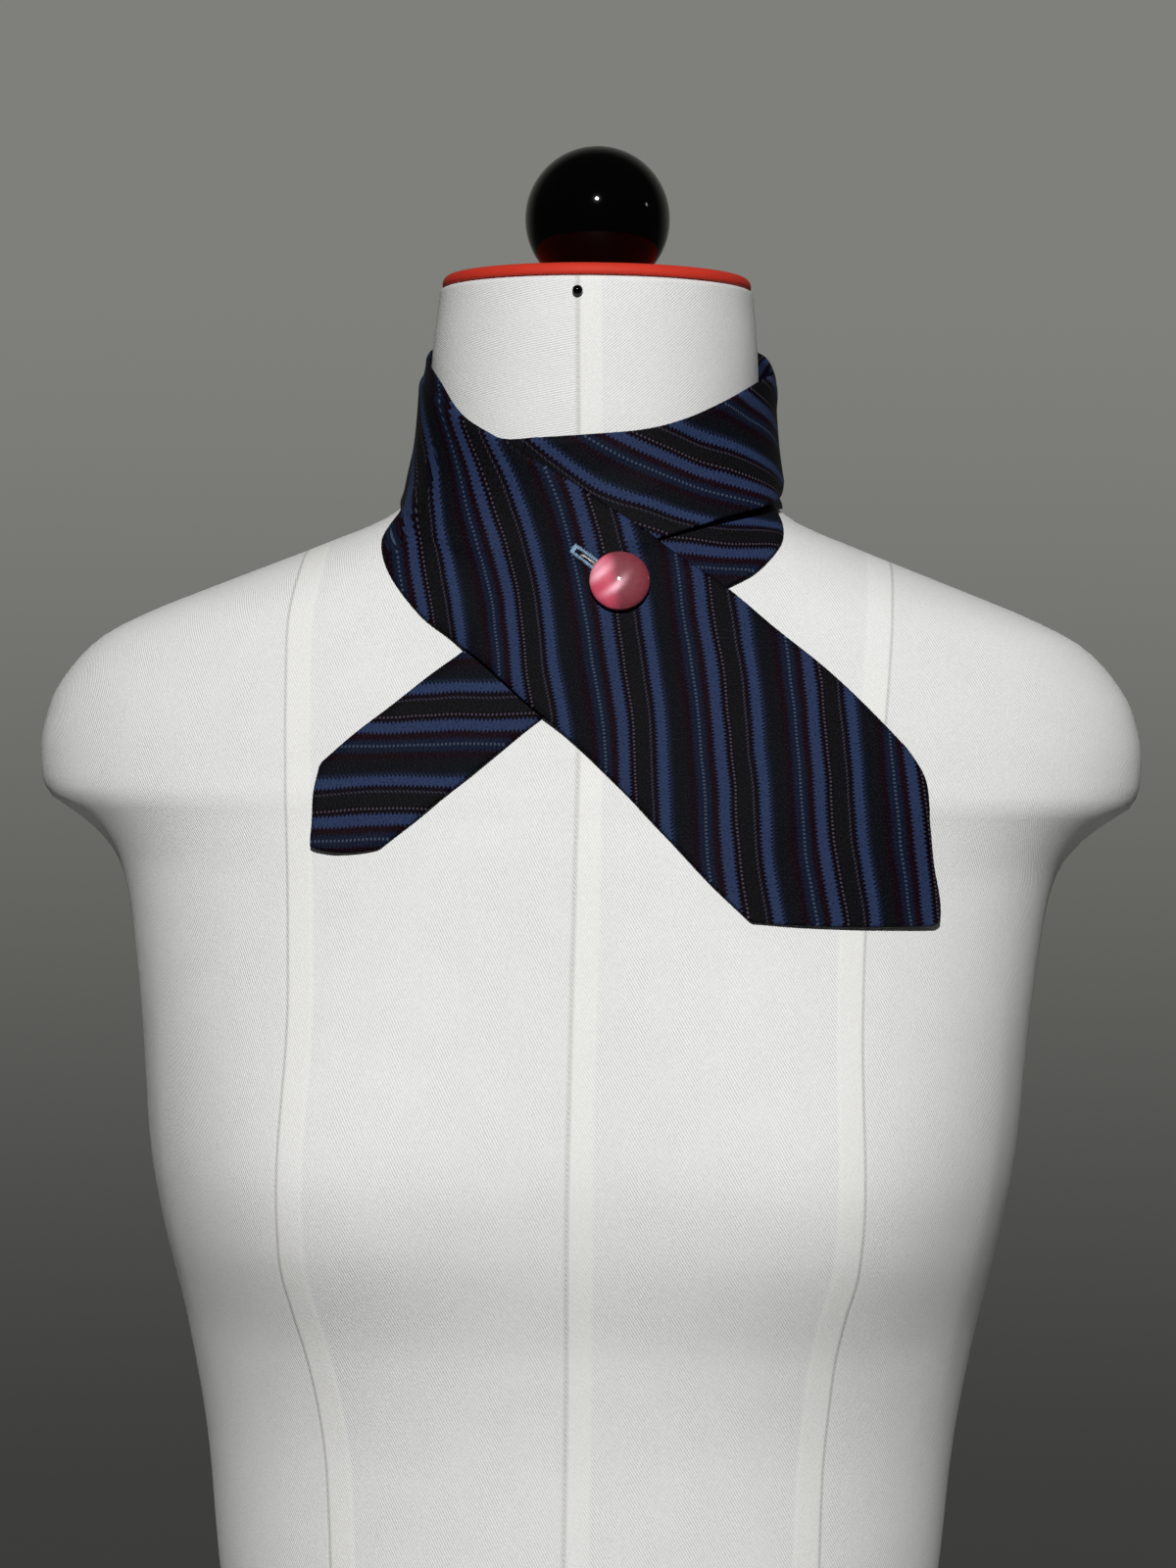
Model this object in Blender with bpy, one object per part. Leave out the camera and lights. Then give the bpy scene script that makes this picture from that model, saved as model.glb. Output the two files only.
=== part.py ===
"""Tie scarf wound twice round the neck of a limbless dress form, and buttoned.

Units are metres, +Z is up and the front faces -Y. The tables and sizes below are in millimetres.
"""

import math

import bmesh
import bpy
from mathutils import Matrix, Vector
from mathutils.bvhtree import BVHTree

MM = 0.001

CLOTH = 1.8  # thickness of the folded tie: face cloth, lining and turned-in edges
GAP = 0.35  # air left between pieces that touch
STEP = 6.0  # length of one row of faces along the cloth
REACH = 14.0  # how far outside the cloth a ray starts that looks for what is under it
FAR = 300.0  # a distance that is outside the whole form
STEEP = 0.35  # least slant that is reckoned with where the form's side lies flat

# Dress form: height of a section, its half width, its depth in front and behind, its squareness.
FORM_COLUMNS = ("z", "half", "front", "back", "square")
FORM_TABLE = (
    (0, 164, 98, 112, 2.2),
    (3, 168, 102, 116, 2.2),
    (16, 171, 106, 120, 2.2),
    (70, 168, 108, 118, 2.2),
    (115, 157, 104, 110, 2.2),
    (165, 137, 97, 95, 2.2),
    (215, 127, 92, 86, 2.2),
    (250, 133, 93, 87, 2.2),
    (298, 138, 97, 92, 2.2),
    (338, 145, 104, 96, 2.2),
    (382, 155, 112, 101, 2.3),
    (403, 159, 114, 103, 2.3),
    (452, 164, 108, 106, 2.25),
    (476, 167, 103, 107, 2.2),
    (498, 170.5, 98, 108, 2.15),
    (511, 175, 95, 107, 2.1),
    (520, 182, 92, 106, 2.1),
    (528, 192, 89, 105, 2.1),
    (533, 200, 88, 104, 2.1),
    (541, 204, 85, 103, 2.1),
    (552, 204.6, 82, 101, 2.1),
    (569, 201, 77, 96, 2.1),
    (581, 194, 73, 92, 2.1),
    (593, 182, 70, 87, 2.1),
    (602, 165, 68, 83, 2.1),
    (611, 143, 66, 79, 2.05),
    (620, 120, 64, 75, 2.0),
    (629, 97, 62, 70, 2.0),
    (638, 76, 61, 66, 2.0),
    (648, 65, 60, 63, 2.0),
    (670, 62, 60, 61, 2.0),
    (700, 60.5, 59.5, 59.5, 2.0),
    (721, 58.4, 58, 58, 2.0),
)
FORM_ROUND = 44  # points round a section
FORM_ROW = 18.0  # height of a row of faces
NECK_TOP = 723.6
NECK_EDGE = 2.0  # roundness of the neck's top edge
NECK_FROM = 640.0  # above this height the neck's sections tip forward and stand a little aside
NECK_ASIDE = 1.0
TILT = math.radians(2.2)
BUST = {"x": 103.0, "z": 403.0, "wide": 46.0, "tall": 47.0, "out": 21.0}

CAP = {"radius": 57.4, "thick": 4.4, "edge": 3.0}
BALL = {"radius": 27.0, "centre": 750.4}

# Button, seen from the front: where it sits, its head, and the shank that goes through the slit.
BUTTON = {"x": 13.2, "z": 611.2, "radius": 10.7, "dome": 3.6, "rim": 2.4, "shank": 1.1}
SLIT = {"long": 19.4, "wide": 1.3, "hole": 1.5, "fall": math.radians(36.0)}

# Each stretch of cloth has a row per section. An edge lies at a turn round the neck, in degrees
# from the front towards +X, and at a height. It stands off the form by what is under it.
CLOTH_COLUMNS = ("top_turn", "top_z", "top_off", "low_turn", "low_z", "low_off")
# Tail end, from its point up under the blade.
TAIL_TABLE = (
    (-48, 517, 2.4, -47, 516, 2.4),
    (-48.5, 524.5, 2, -44.5, 515.5, 2.2),
    (-49, 535.5, 1.6, -40.5, 516, 1.8),
    (-49.5, 545.5, 1.3, -38, 517, 1.3),
    (-46, 555.5, 1.3, -33, 527, 1.3),
    (-41, 566.5, 1.3, -27, 538, 1.3),
    (-35.5, 577.5, 1.3, -19.5, 550, 1.3),
    (-29, 587, 1.3, -12, 560.5, 1.3),
    (-21.5, 598, 1.3, -3, 570.5, 1.3),
    (-14, 606.5, 1.3, 5, 579, 1.3),
)
# Inner turn: front right, back and left, close to the neck.
INNER_TABLE = (
    (-14, 606.9, 1.3, 5.2, 579.2, 1.3),
    (-3, 618, 1.3, 16, 589.5, 1.3),
    (10.5, 628.5, 1.3, 27.5, 600, 1.3),
    (20, 640, 1.3, 38, 610, 1.3),
    (29, 648, 1.3, 46, 616.5, 1.3),
    (38.5, 656, 1.3, 55.5, 627, 1.3),
    (50, 665, 1.3, 63.5, 635, 1.3),
    (62, 672, 1.3, 69.5, 640, 1.3),
    (84, 679.5, 1.3, 88, 643.5, 1.3),
    (110, 683, 1.3, 112, 645.5, 1.3),
    (145, 684.5, 1.3, 145, 646, 1.3),
    (180, 686, 1.3, 180, 647, 1.3),
    (215, 689, 1.3, 215, 649.5, 1.3),
    (248, 690.5, 1.3, 246, 651, 1.3),
    (274, 688, 1.3, 268, 650, 1.3),
    (294, 681.5, 1.3, 283, 646.5, 1.3),
    (311, 672.5, 1.3, 297, 640, 1.3),
)
# Outer turn: front, right and back, over the inner turn.
OUTER_TABLE = (
    (312, 672, 1.3, 298, 639.5, 1.3),
    (321, 667, 1.3, 309, 632, 1.3),
    (331, 662.5, 1.3, 322, 625, 1.3),
    (344, 662.5, 1.3, 339, 622, 1.3),
    (361, 663.5, 1.3, 360, 620.5, 1.6),
    (381, 666, 1.3, 381, 624, 3.4),
    (395, 670.5, 1.8, 399, 630.5, 4.8),
    (410.5, 678, 3.2, 416, 638, 4.9),
    (431, 688, 5, 434, 645, 4.7),
    (452, 693.5, 6, 452, 649.5, 4.8),
    (468, 702, 6, 470, 651.5, 4.6),
    (488, 707.5, 3.6, 490, 652.5, 3.8),
    (512, 709.5, 1.8, 513, 653, 3.3),
    (542, 709.5, 1.5, 542, 653, 3),
    (572.3, 708.5, 1.8, 572.3, 651, 3),
)
# Blade: back left, left side and front, down to its point.
BLADE_TABLE = (
    (213, 708.5, 1.8, 213, 651, 3),
    (228, 707.5, 1.5, 228, 649.5, 2.5),
    (244, 705.5, 1.3, 244, 648, 1.3),
    (260, 702.5, 1.3, 259, 647, 1.3),
    (274, 698.5, 1.3, 271, 645.5, 1.3),
    (287, 692.5, 1.3, 281, 643, 1.3),
    (300, 685, 1.3, 296, 637, 1.3),
    (314, 673.5, 1.3, 301.5, 628, 1.3),
    (329.5, 663.5, 1.3, 309.5, 615.5, 1.3),
    (344.5, 654, 2.6, 319, 600.5, 1.3),
    (361.5, 642.5, 3.4, 327.5, 590.5, 1.3),
    (375, 632, 3.4, 336.5, 581.5, 3.4),
    (387, 621, 3.4, 347, 569, 3.4),
    (397, 610, 3.4, 357.5, 557, 1.8),
    (405.5, 595.5, 1.6, 369, 541, 1.3),
    (412, 580.5, 1.3, 379, 523, 1.3),
    (416.5, 562.5, 1.3, 387, 505.5, 1.3),
    (418.5, 553, 1.3, 391, 497, 1.3),
    (419.5, 544.5, 1.3, 392.5, 493.5, 1.5),
    (419.5, 527.5, 1.6, 400, 492.5, 2),
    (420, 512.5, 2, 408, 492, 2.4),
    (420, 498.5, 2.6, 415.5, 492, 2.8),
    (419.5, 493.5, 3, 418.5, 492, 3),
)


def smooth_value(knots, values, at, level_ends=True):
    """Cubic interpolation through knots. With level_ends it never passes beyond two neighbours."""
    if at <= knots[0]:
        return values[0]
    if at >= knots[-1]:
        return values[-1]
    steps = [b - a for a, b in zip(knots, knots[1:])]
    rises = [(b - a) / h for a, b, h in zip(values, values[1:], steps)]

    def slope(i):
        if i == 0:
            return rises[0]
        if i == len(knots) - 1:
            return rises[-1]
        if not level_ends:
            return (rises[i - 1] * steps[i] + rises[i] * steps[i - 1]) / (steps[i - 1] + steps[i])
        if rises[i - 1] * rises[i] <= 0:
            return 0.0
        left = 2 * steps[i] + steps[i - 1]
        right = steps[i] + 2 * steps[i - 1]
        return (left + right) / (left / rises[i - 1] + right / rises[i])

    i = max(k for k in range(len(steps)) if knots[k] <= at)
    t = (at - knots[i]) / steps[i]
    return (
        values[i] * (1 + 2 * t) * (1 - t) ** 2
        + slope(i) * steps[i] * t * (1 - t) ** 2
        + values[i + 1] * t * t * (3 - 2 * t)
        - slope(i + 1) * steps[i] * t * t * (1 - t)
    )


def form_point(z, turn, inset=0.0):
    """A point on the form. turn is an angle round it, from +X towards +Y."""
    knots = [row[0] for row in FORM_TABLE]
    half, front, back, square = (
        smooth_value(knots, [row[k] for row in FORM_TABLE], z) for k in range(1, len(FORM_COLUMNS))
    )
    c, s = math.cos(turn), math.sin(turn)
    x = (half - inset) * math.copysign(abs(c) ** (2 / square), c)
    depth = (back if s > 0 else front) - inset
    y = depth * math.copysign(abs(s) ** (2 / square), s)
    if s < 0:
        level = math.exp(-(((z - BUST["z"]) / BUST["tall"]) ** 2) / 2)
        sides = sum(math.exp(-(((x - k * BUST["x"]) / BUST["wide"]) ** 2) / 2) for k in (-1, 1))
        y -= BUST["out"] * level * sides * min(1.0, -2.5 * s)
    up_neck = max(0.0, z - NECK_FROM) / (NECK_TOP - NECK_FROM)
    return Vector((x + NECK_ASIDE * up_neck, y, z + up_neck * math.tan(TILT) * y))


def form_rings():
    """Level rings up the form, closer together where it turns from shoulder to neck."""
    turns = [2 * math.pi * i / FORM_ROUND for i in range(FORM_ROUND)]
    heights = [0.0, 1.5]
    while heights[-1] < NECK_TOP - NECK_EDGE - 1.3 * FORM_ROW:
        finer = 0.6 if 495 < heights[-1] < 660 else 1.25 if heights[-1] < 330 else 1.0
        heights.append(heights[-1] + FORM_ROW * finer)
    levels = [(z, 0.0) for z in heights]
    for i in range(4):
        bend = i * math.pi / 6
        level = NECK_TOP - NECK_EDGE * (1 - math.sin(bend))
        levels.append((level, NECK_EDGE * (1 - math.cos(bend))))
    return [[form_point(z, turn, inset) for turn in turns] for z, inset in levels]


def turned_rings(profile, count, place):
    """Rings of a turned shape. profile holds (radius, height) pairs and place is its frame."""
    turns = [2 * math.pi * i / count for i in range(count)]
    return [
        [place @ Vector((r * math.cos(t), r * math.sin(t), h)) for t in turns] for r, h in profile
    ]


def cap_rings():
    """The neck cap: a disc with a rounded upper edge, tipped forward with the neck's top."""
    edge, high = CAP["edge"], CAP["thick"]
    profile = [(CAP["radius"] - 0.6, 0.0), (CAP["radius"], 0.6)]
    for i in range(5):
        bend = i * math.pi / 8
        inward, down = edge * (1 - math.cos(bend)), edge * (1 - math.sin(bend))
        profile.append((CAP["radius"] - inward, high - down))
    place = Matrix.Translation((NECK_ASIDE, 0, NECK_TOP + GAP)) @ Matrix.Rotation(TILT, 4, "X")
    return turned_rings(profile, 44, place)


def ball_rings():
    """The ball on the cap, with a flat along the cap's tipped top."""
    radius, centre, steps = BALL["radius"], BALL["centre"], 13
    flat = NECK_TOP + CAP["thick"] + 2 * GAP + 0.1
    low = math.asin((flat - centre) / radius)
    lifts = [low + (math.pi / 2 - low) * i / steps for i in range(steps)]
    profile = [(radius * math.cos(a), radius * math.sin(a)) for a in lifts]
    profile.append((0.8, radius * 0.9995))
    rings = turned_rings(profile, 28, Matrix.Translation((NECK_ASIDE, 0, centre)))
    rings[0] = [Vector((v.x, v.y, v.z + v.y * math.tan(TILT))) for v in rings[0]]
    return rings


def off_form(form, turn, z, off):
    """The point at this turn and height that stands this far off the form."""
    out = Vector((math.sin(turn), -math.cos(turn), 0.0))
    start = out * FAR + Vector((0, 0, z))
    place, normal = form.ray_cast(start * MM, -out)[:2]
    return place / MM + out * off / max(STEEP, normal.dot(out))


def cloth_grid(form, table, across, step):
    """Rows of points in the middle of the cloth, evenly spaced along the stretch."""
    tops, lows, bows, middles = [], [], [], []
    for values in table:
        row = dict(zip(CLOTH_COLUMNS, values))
        top_turn, low_turn = math.radians(row["top_turn"]), math.radians(row["low_turn"])
        tops.append(off_form(form, top_turn, row["top_z"], row["top_off"]))
        lows.append(off_form(form, low_turn, row["low_z"], row["low_off"]))
        middles.append((tops[-1] + lows[-1]) / 2)
        turn = math.atan2(middles[-1].x, -middles[-1].y)
        off = (row["top_off"] + row["low_off"]) / 2
        bows.append(off_form(form, turn, middles[-1].z, off) - middles[-1])
    knots = [0.0]
    for before, after in zip(middles, middles[1:]):
        knots.append(knots[-1] + (after - before).length)

    def point(points, at):
        return Vector([smooth_value(knots, [p[k] for p in points], at, False) for k in range(3)])

    count = round(knots[-1] / step)
    shares = [j / (across - 1) for j in range(across)]
    grid = []
    for i in range(count + 1):
        top, low, bow = (point(points, knots[-1] * i / count) for points in (tops, lows, bows))
        grid.append([top.lerp(low, w) + bow * 4 * w * (1 - w) for w in shares])
    return grid


def grid_normals(grid):
    """Outward unit normals of a grid of points."""
    last_row, last = len(grid) - 1, len(grid[0]) - 1
    normals = []
    for i, row in enumerate(grid):
        line = []
        for j in range(last + 1):
            ahead = grid[min(i + 1, last_row)][j] - grid[max(i - 1, 0)][j]
            down = row[min(j + 1, last)] - row[max(j - 1, 0)]
            line.append(down.cross(ahead).normalized())
        normals.append(line)
    return normals


def halved(field):
    """A grid with a point added in the middle of each side and cell."""
    rows = []
    for before, after in zip(field, field[1:] + field[-1:]):
        for line in (before, [(a + b) / 2 for a, b in zip(before, after)]):
            rows.append([line[0]])
            for a, b in zip(line, line[1:]):
                rows[-1] += [(a + b) / 2, b]
    return rows[:-1]


def near(field, i, j):
    """The values of a grid at a place and at its eight neighbours."""
    rows = field[max(i - 1, 0) : i + 2]
    return [value for row in rows for value in row[max(j - 1, 0) : j + 2]]


def laid_down(grid, under):
    """Lifts the cloth clear of what is under it, with a soft step over each edge it crosses."""
    normals = grid_normals(grid)
    fine_need = []
    for row, line in zip(halved(grid), halved(normals)):
        fine_need.append([])
        for point, out in zip(row, line):
            start, lift = (point + out * REACH) * MM, 0.0
            for tree in under:
                gone = tree.ray_cast(start, -out, 2 * REACH * MM)[3]
                if gone is not None:
                    lift = max(lift, REACH - gone / MM + CLOTH / 2 + GAP)
            fine_need[-1].append(lift)
    rows, across = range(len(grid)), range(len(grid[0]))
    need = [[max(near(fine_need, 2 * i, 2 * j)) for j in across] for i in rows]
    soft = [[sum(near(need, i, j)) / len(near(need, i, j)) for j in across] for i in rows]
    return [
        [p + n * max(a, b) for p, n, a, b in zip(*lines)] for lines in zip(grid, normals, need, soft)
    ]


def cloth_shape(grid):
    """The wall of cloth on a laid grid, with rolled edges and square-cut ends."""
    rings = []
    for row, line in zip(grid, grid_normals(grid)):
        narrow = min(1.0, (row[-1] - row[0]).length / (4 * CLOTH))
        side = (row[0] - row[1]).normalized(), (row[-1] - row[-2]).normalized()
        halves = [CLOTH / 2] * len(row)
        halves[0] = halves[-1] = 0.4 * CLOTH
        outer = [p + n * h for p, n, h in zip(row, line, halves)]
        inner = [p - n * h for p, n, h in zip(row, line, halves)]
        rolls = [row[0] + side[0] * 0.5 * CLOTH * narrow, row[-1] + side[1] * 0.5 * CLOTH * narrow]
        rings.append([rolls[0], *outer, rolls[1], *reversed(inner)])
    return loft(rings)


def loft(rings):
    """A closed mesh through rings of equal length, with both ends capped."""
    shape = bmesh.new()
    rows = [[shape.verts.new(point * MM) for point in ring] for ring in rings]
    count = len(rows[0])
    for low, high in zip(rows, rows[1:]):
        for i in range(count):
            j = (i + 1) % count
            shape.faces.new((low[i], low[j], high[j], high[i]))
    shape.faces.new(rows[0][::-1])
    shape.faces.new(rows[-1])
    bmesh.ops.triangulate(shape, faces=shape.faces)
    bmesh.ops.recalc_face_normals(shape, faces=shape.faces)
    return shape


def button_place(under):
    """The frame of the button: its origin on the cloth under its head, +Z out of the cloth."""
    x, z = BUTTON["x"], BUTTON["z"]
    spots = []
    for dx, dz in ((0, 0), (6, 0), (-6, 0), (0, 6), (0, -6)):
        start = Vector((x + dx, -200.0, z + dz)) * MM
        spots.append(under.ray_cast(start, Vector((0, 1, 0)))[0] / MM)
    across, upward = spots[1] - spots[2], spots[3] - spots[4]
    out = across.cross(upward).normalized()
    side = across.normalized()
    turn = Matrix((side, out.cross(side), out)).transposed().to_4x4()
    return Matrix.Translation(spots[0]) @ turn


def button_rings(place, stand, depth):
    """The button: shank, flat back, rounded rim and low dome."""
    radius, rim, dome, shank = (BUTTON[k] for k in ("radius", "rim", "dome", "shank"))
    profile = [(shank * 0.9, -depth), (shank, -depth + 0.3), (shank, stand), (radius - 1.2, stand)]
    profile += [(radius - 0.25, stand + 0.5), (radius, stand + rim * 0.6)]
    for i in range(5):
        bend = 0.16 + (math.pi / 2 - 0.16) * i / 5
        profile.append((radius * math.cos(bend), stand + rim * 0.6 + dome * math.sin(bend)))
    profile.append((0.5, stand + rim * 0.6 + dome))
    return turned_rings(profile, 28, place)


def slit_rings(place):
    """The cutter of the buttonhole: a narrow slit with a round hole for the shank at one end."""
    half, hole, long = SLIT["wide"] / 2, SLIT["hole"], SLIT["long"]
    neck = math.asin(half / hole)
    outline = []
    for i in range(13):
        turn = -math.pi + neck + (2 * math.pi - 2 * neck) * i / 12
        outline.append((hole * math.cos(turn), hole * math.sin(turn)))
    for i in range(7):
        turn = math.pi / 2 + math.pi * i / 6
        outline.append((-long + half + half * math.cos(turn), half * math.sin(turn)))
    lean = place @ Matrix.Rotation(-SLIT["fall"], 4, "Z")
    return [[lean @ Vector((x, y, h)) for x, y in outline] for h in (-6.0, 6.0)]


def add_object(shape, name, material, collection):
    mesh = bpy.data.meshes.new(name)
    shape.to_mesh(mesh)
    shape.free()
    mesh.materials.append(material)
    thing = bpy.data.objects.new(name, mesh)
    collection.objects.link(thing)
    return thing


def plain_material(name, colour, roughness, coat=0.0):
    material = bpy.data.materials.new(name)
    material.use_nodes = True
    shader = material.node_tree.nodes["Principled BSDF"]
    shader.inputs["Base Color"].default_value = (*colour, 1.0)
    shader.inputs["Roughness"].default_value = roughness
    shader.inputs["Coat Weight"].default_value = coat
    return material


def main():
    for thing in list(bpy.data.objects):
        bpy.data.objects.remove(thing)
    collection = bpy.data.collections.new("tie_scarf_on_dress_form")
    bpy.context.scene.collection.children.link(collection)

    cover = plain_material("form_cover", (0.78, 0.78, 0.76), 0.85)
    torso = loft(form_rings())
    trees = [BVHTree.FromBMesh(torso)]
    add_object(torso, "form_torso", cover, collection)
    red = plain_material("form_red", (0.62, 0.03, 0.02), 0.5)
    add_object(loft(cap_rings()), "form_neck_cap", red, collection)
    black = plain_material("form_black", (0.006, 0.006, 0.006), 0.12, 0.5)
    add_object(loft(ball_rings()), "form_ball", black, collection)

    stretches = (
        ("scarf_tail_end", TAIL_TABLE, 7, (0.03, 0.03, 0.06)),
        ("scarf_inner_turn", INNER_TABLE, 7, (0.05, 0.06, 0.13)),
        ("scarf_outer_turn", OUTER_TABLE, 9, (0.04, 0.05, 0.10)),
        ("scarf_front_blade", BLADE_TABLE, 10, (0.03, 0.04, 0.09)),
    )
    cloths = {}
    for name, table, across, colour in stretches:
        cloth = cloth_shape(laid_down(cloth_grid(trees[0], table, across, STEP), trees))
        trees.append(BVHTree.FromBMesh(cloth))
        cloths[name] = add_object(cloth, name, plain_material(name, colour, 0.6), collection)

    # The button stands on the blade, and its shank reaches down to the turn of cloth it is sewn to.
    place = button_place(trees[-1])
    inner_turn = trees[2]
    start = place.translation * MM
    out = place.to_3x3() @ Vector((0, 0, 1))
    depth = inner_turn.ray_cast(start, -out)[3] / MM - GAP
    pink = plain_material("button_pink", (0.55, 0.10, 0.17), 0.25, 0.6)
    add_object(loft(button_rings(place, 1.2, depth)), "button", pink, collection)
    cutter = add_object(loft(slit_rings(place)), "slit_cutter", pink, collection)
    cutter.hide_render = True
    cut = cloths["scarf_front_blade"].modifiers.new("buttonhole", "BOOLEAN")
    cut.object = cutter
    cut.operation = "DIFFERENCE"
    cut.solver = "EXACT"


if __name__ == "__main__":
    main()
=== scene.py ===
"""Looks of the tie scarf on its dress form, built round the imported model.

Sizes and places are millimetres, except where a note says metres. All meshes are in metres.
"""

import logging
import math
from dataclasses import dataclass, field
from enum import Enum

import bpy
import numpy as np
from mathutils import Matrix, Vector
from mathutils.bvhtree import BVHTree

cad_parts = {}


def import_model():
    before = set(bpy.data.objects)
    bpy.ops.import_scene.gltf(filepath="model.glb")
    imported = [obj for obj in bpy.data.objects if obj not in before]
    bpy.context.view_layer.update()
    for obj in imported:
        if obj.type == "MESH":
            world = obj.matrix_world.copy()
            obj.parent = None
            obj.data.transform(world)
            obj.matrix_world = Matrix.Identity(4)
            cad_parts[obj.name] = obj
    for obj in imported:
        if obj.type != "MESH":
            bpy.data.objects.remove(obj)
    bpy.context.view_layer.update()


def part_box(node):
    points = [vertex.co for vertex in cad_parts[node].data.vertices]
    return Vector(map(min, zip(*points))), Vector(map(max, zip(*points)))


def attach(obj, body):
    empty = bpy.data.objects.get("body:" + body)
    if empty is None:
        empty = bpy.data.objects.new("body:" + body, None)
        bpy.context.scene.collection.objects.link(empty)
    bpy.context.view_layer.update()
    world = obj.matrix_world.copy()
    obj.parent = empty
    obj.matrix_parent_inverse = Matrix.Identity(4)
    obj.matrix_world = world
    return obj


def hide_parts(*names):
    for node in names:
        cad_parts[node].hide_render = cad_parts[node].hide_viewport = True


log = logging.getLogger("tie_scarf")

MM = 0.001
TINY = 1e-12
# How far out from the form's axis a ray starts, in metres.
OUTSIDE = 0.3
FLAT_LAYER = "FlatMetres"


class Slot(Enum):
    """Material slots of the record."""

    COVER = "cover"
    CAP_RED = "cap_red"
    GLOSS_BLACK = "gloss_black"
    TIE_SILK = "tie_silk"
    BUTTON_PINK = "button_pink"
    THREAD = "buttonhole_thread"


class Pick(Enum):
    """How a value is made from its neighbours."""

    MEAN = "mean"
    MOST = "most"


class Seam(Enum):
    """Seams of the form's cover. The mesh keeps the distance to each one under its value."""

    CENTRE = "centre"
    PRINCESS = "princess"
    SIDE = "side"


# Small tools


def smooth_values(
    knots: list[float], values: np.ndarray, at: np.ndarray, level_ends: bool = True
) -> np.ndarray:
    """Cubic interpolation of rows of values.

    Args:
        knots: Where each row of values lies, rising.
        values: One row for each knot.
        at: Places to read, held between the first and the last knot.
        level_ends: True for a curve that never passes beyond two neighbouring rows.

    Returns:
        One row for each place.
    """
    knots = np.asarray(knots, float)
    values = np.asarray(values, float)
    steps = np.diff(knots)
    rises = np.diff(values, axis=0) / steps[:, None]
    slopes = np.empty_like(values)
    slopes[0], slopes[-1] = rises[0], rises[-1]
    before, after = rises[:-1], rises[1:]
    short, long = steps[:-1, None], steps[1:, None]
    if level_ends:
        left, right = 2 * long + short, long + 2 * short
        with np.errstate(divide="ignore", invalid="ignore"):
            inner = (left + right) / (left / before + right / after)
        slopes[1:-1] = np.where(before * after > 0, inner, 0.0)
    else:
        slopes[1:-1] = (before * long + after * short) / (short + long)
    i = np.clip(np.searchsorted(knots, at, side="right") - 1, 0, len(steps) - 1)
    h = steps[i][:, None]
    t = np.clip((at - knots[i]) / steps[i], 0, 1)[:, None]
    return (
        values[i] * (1 + 2 * t) * (1 - t) ** 2
        + slopes[i] * h * t * (1 - t) ** 2
        + values[i + 1] * t * t * (3 - 2 * t)
        - slopes[i + 1] * h * t * t * (1 - t)
    )


def unit(vectors: np.ndarray) -> np.ndarray:
    """Vectors of length one along the last axis."""
    return vectors / np.maximum(np.linalg.norm(vectors, axis=-1, keepdims=True), TINY)


def grid_normals(grid: np.ndarray) -> np.ndarray:
    """Normals of a grid of points.

    Args:
        grid: Points indexed along and then across the cloth.

    Returns:
        Unit vectors, one for each point.
    """
    ahead = np.gradient(grid, axis=0)
    down = np.gradient(grid, axis=1)
    return unit(np.cross(down, ahead))


def spread(field_values: np.ndarray, reach: int, pick: Pick) -> np.ndarray:
    """The mean or the most of each value's neighbours.

    Args:
        field_values: A grid of numbers.
        reach: How many cells away a neighbour may be.
        pick: What is taken of the neighbours.

    Returns:
        A grid of the same size.
    """
    result = field_values
    for axis in (0, 1):
        pad = [(0, 0), (0, 0)]
        pad[axis] = (reach, reach)
        wide = np.pad(result, pad, mode="edge")
        size = result.shape[axis]
        shifted = [np.take(wide, range(k, k + size), axis=axis) for k in range(2 * reach + 1)]
        result = np.mean(shifted, axis=0) if pick is Pick.MEAN else np.max(shifted, axis=0)
    return result


@dataclass
class MeshParts:
    """Points, faces and flat coordinates of one mesh while it is being built."""

    points: list = field(default_factory=list)
    faces: list = field(default_factory=list)
    flat: list = field(default_factory=list)

    def add_rings(self, rings: np.ndarray, caps: bool = False) -> None:
        """Adds a skin through rings of points.

        Args:
            rings: Points in metres, indexed by ring and by place round it.
            caps: True to close both ends.
        """
        start, (count, around) = len(self.points), rings.shape[:2]
        self.points.extend(map(tuple, rings.reshape(-1, 3)))
        for i in range(count - 1):
            for j in range(around):
                k = (j + 1) % around
                a, b = start + i * around, start + (i + 1) * around
                self.faces.append((a + j, a + k, b + k, b + j))
        if caps:
            self.faces.append(tuple(start + j for j in range(around))[::-1])
            top = start + (count - 1) * around
            self.faces.append(tuple(top + j for j in range(around)))

    def build(self, name: str, material: bpy.types.Material) -> bpy.types.Object:
        """Makes the object, shaded smooth.

        Args:
            name: Name of the object and its mesh.
            material: The finish of all its faces.

        Returns:
            The new object, with its flat coordinates as UVs if it has any.
        """
        mesh = bpy.data.meshes.new(name)
        mesh.from_pydata(self.points, [], self.faces)
        if self.flat:
            layer = mesh.uv_layers.new(name=FLAT_LAYER)
            corners = np.zeros(len(mesh.loops), np.int32)
            mesh.loops.foreach_get("vertex_index", corners)
            flat = np.asarray(self.flat, np.float32)[corners]
            layer.data.foreach_set("uv", flat.ravel())
        mesh.materials.append(material)
        mesh.shade_smooth()
        thing = bpy.data.objects.new(name, mesh)
        bpy.context.scene.collection.objects.link(thing)
        return thing


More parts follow.
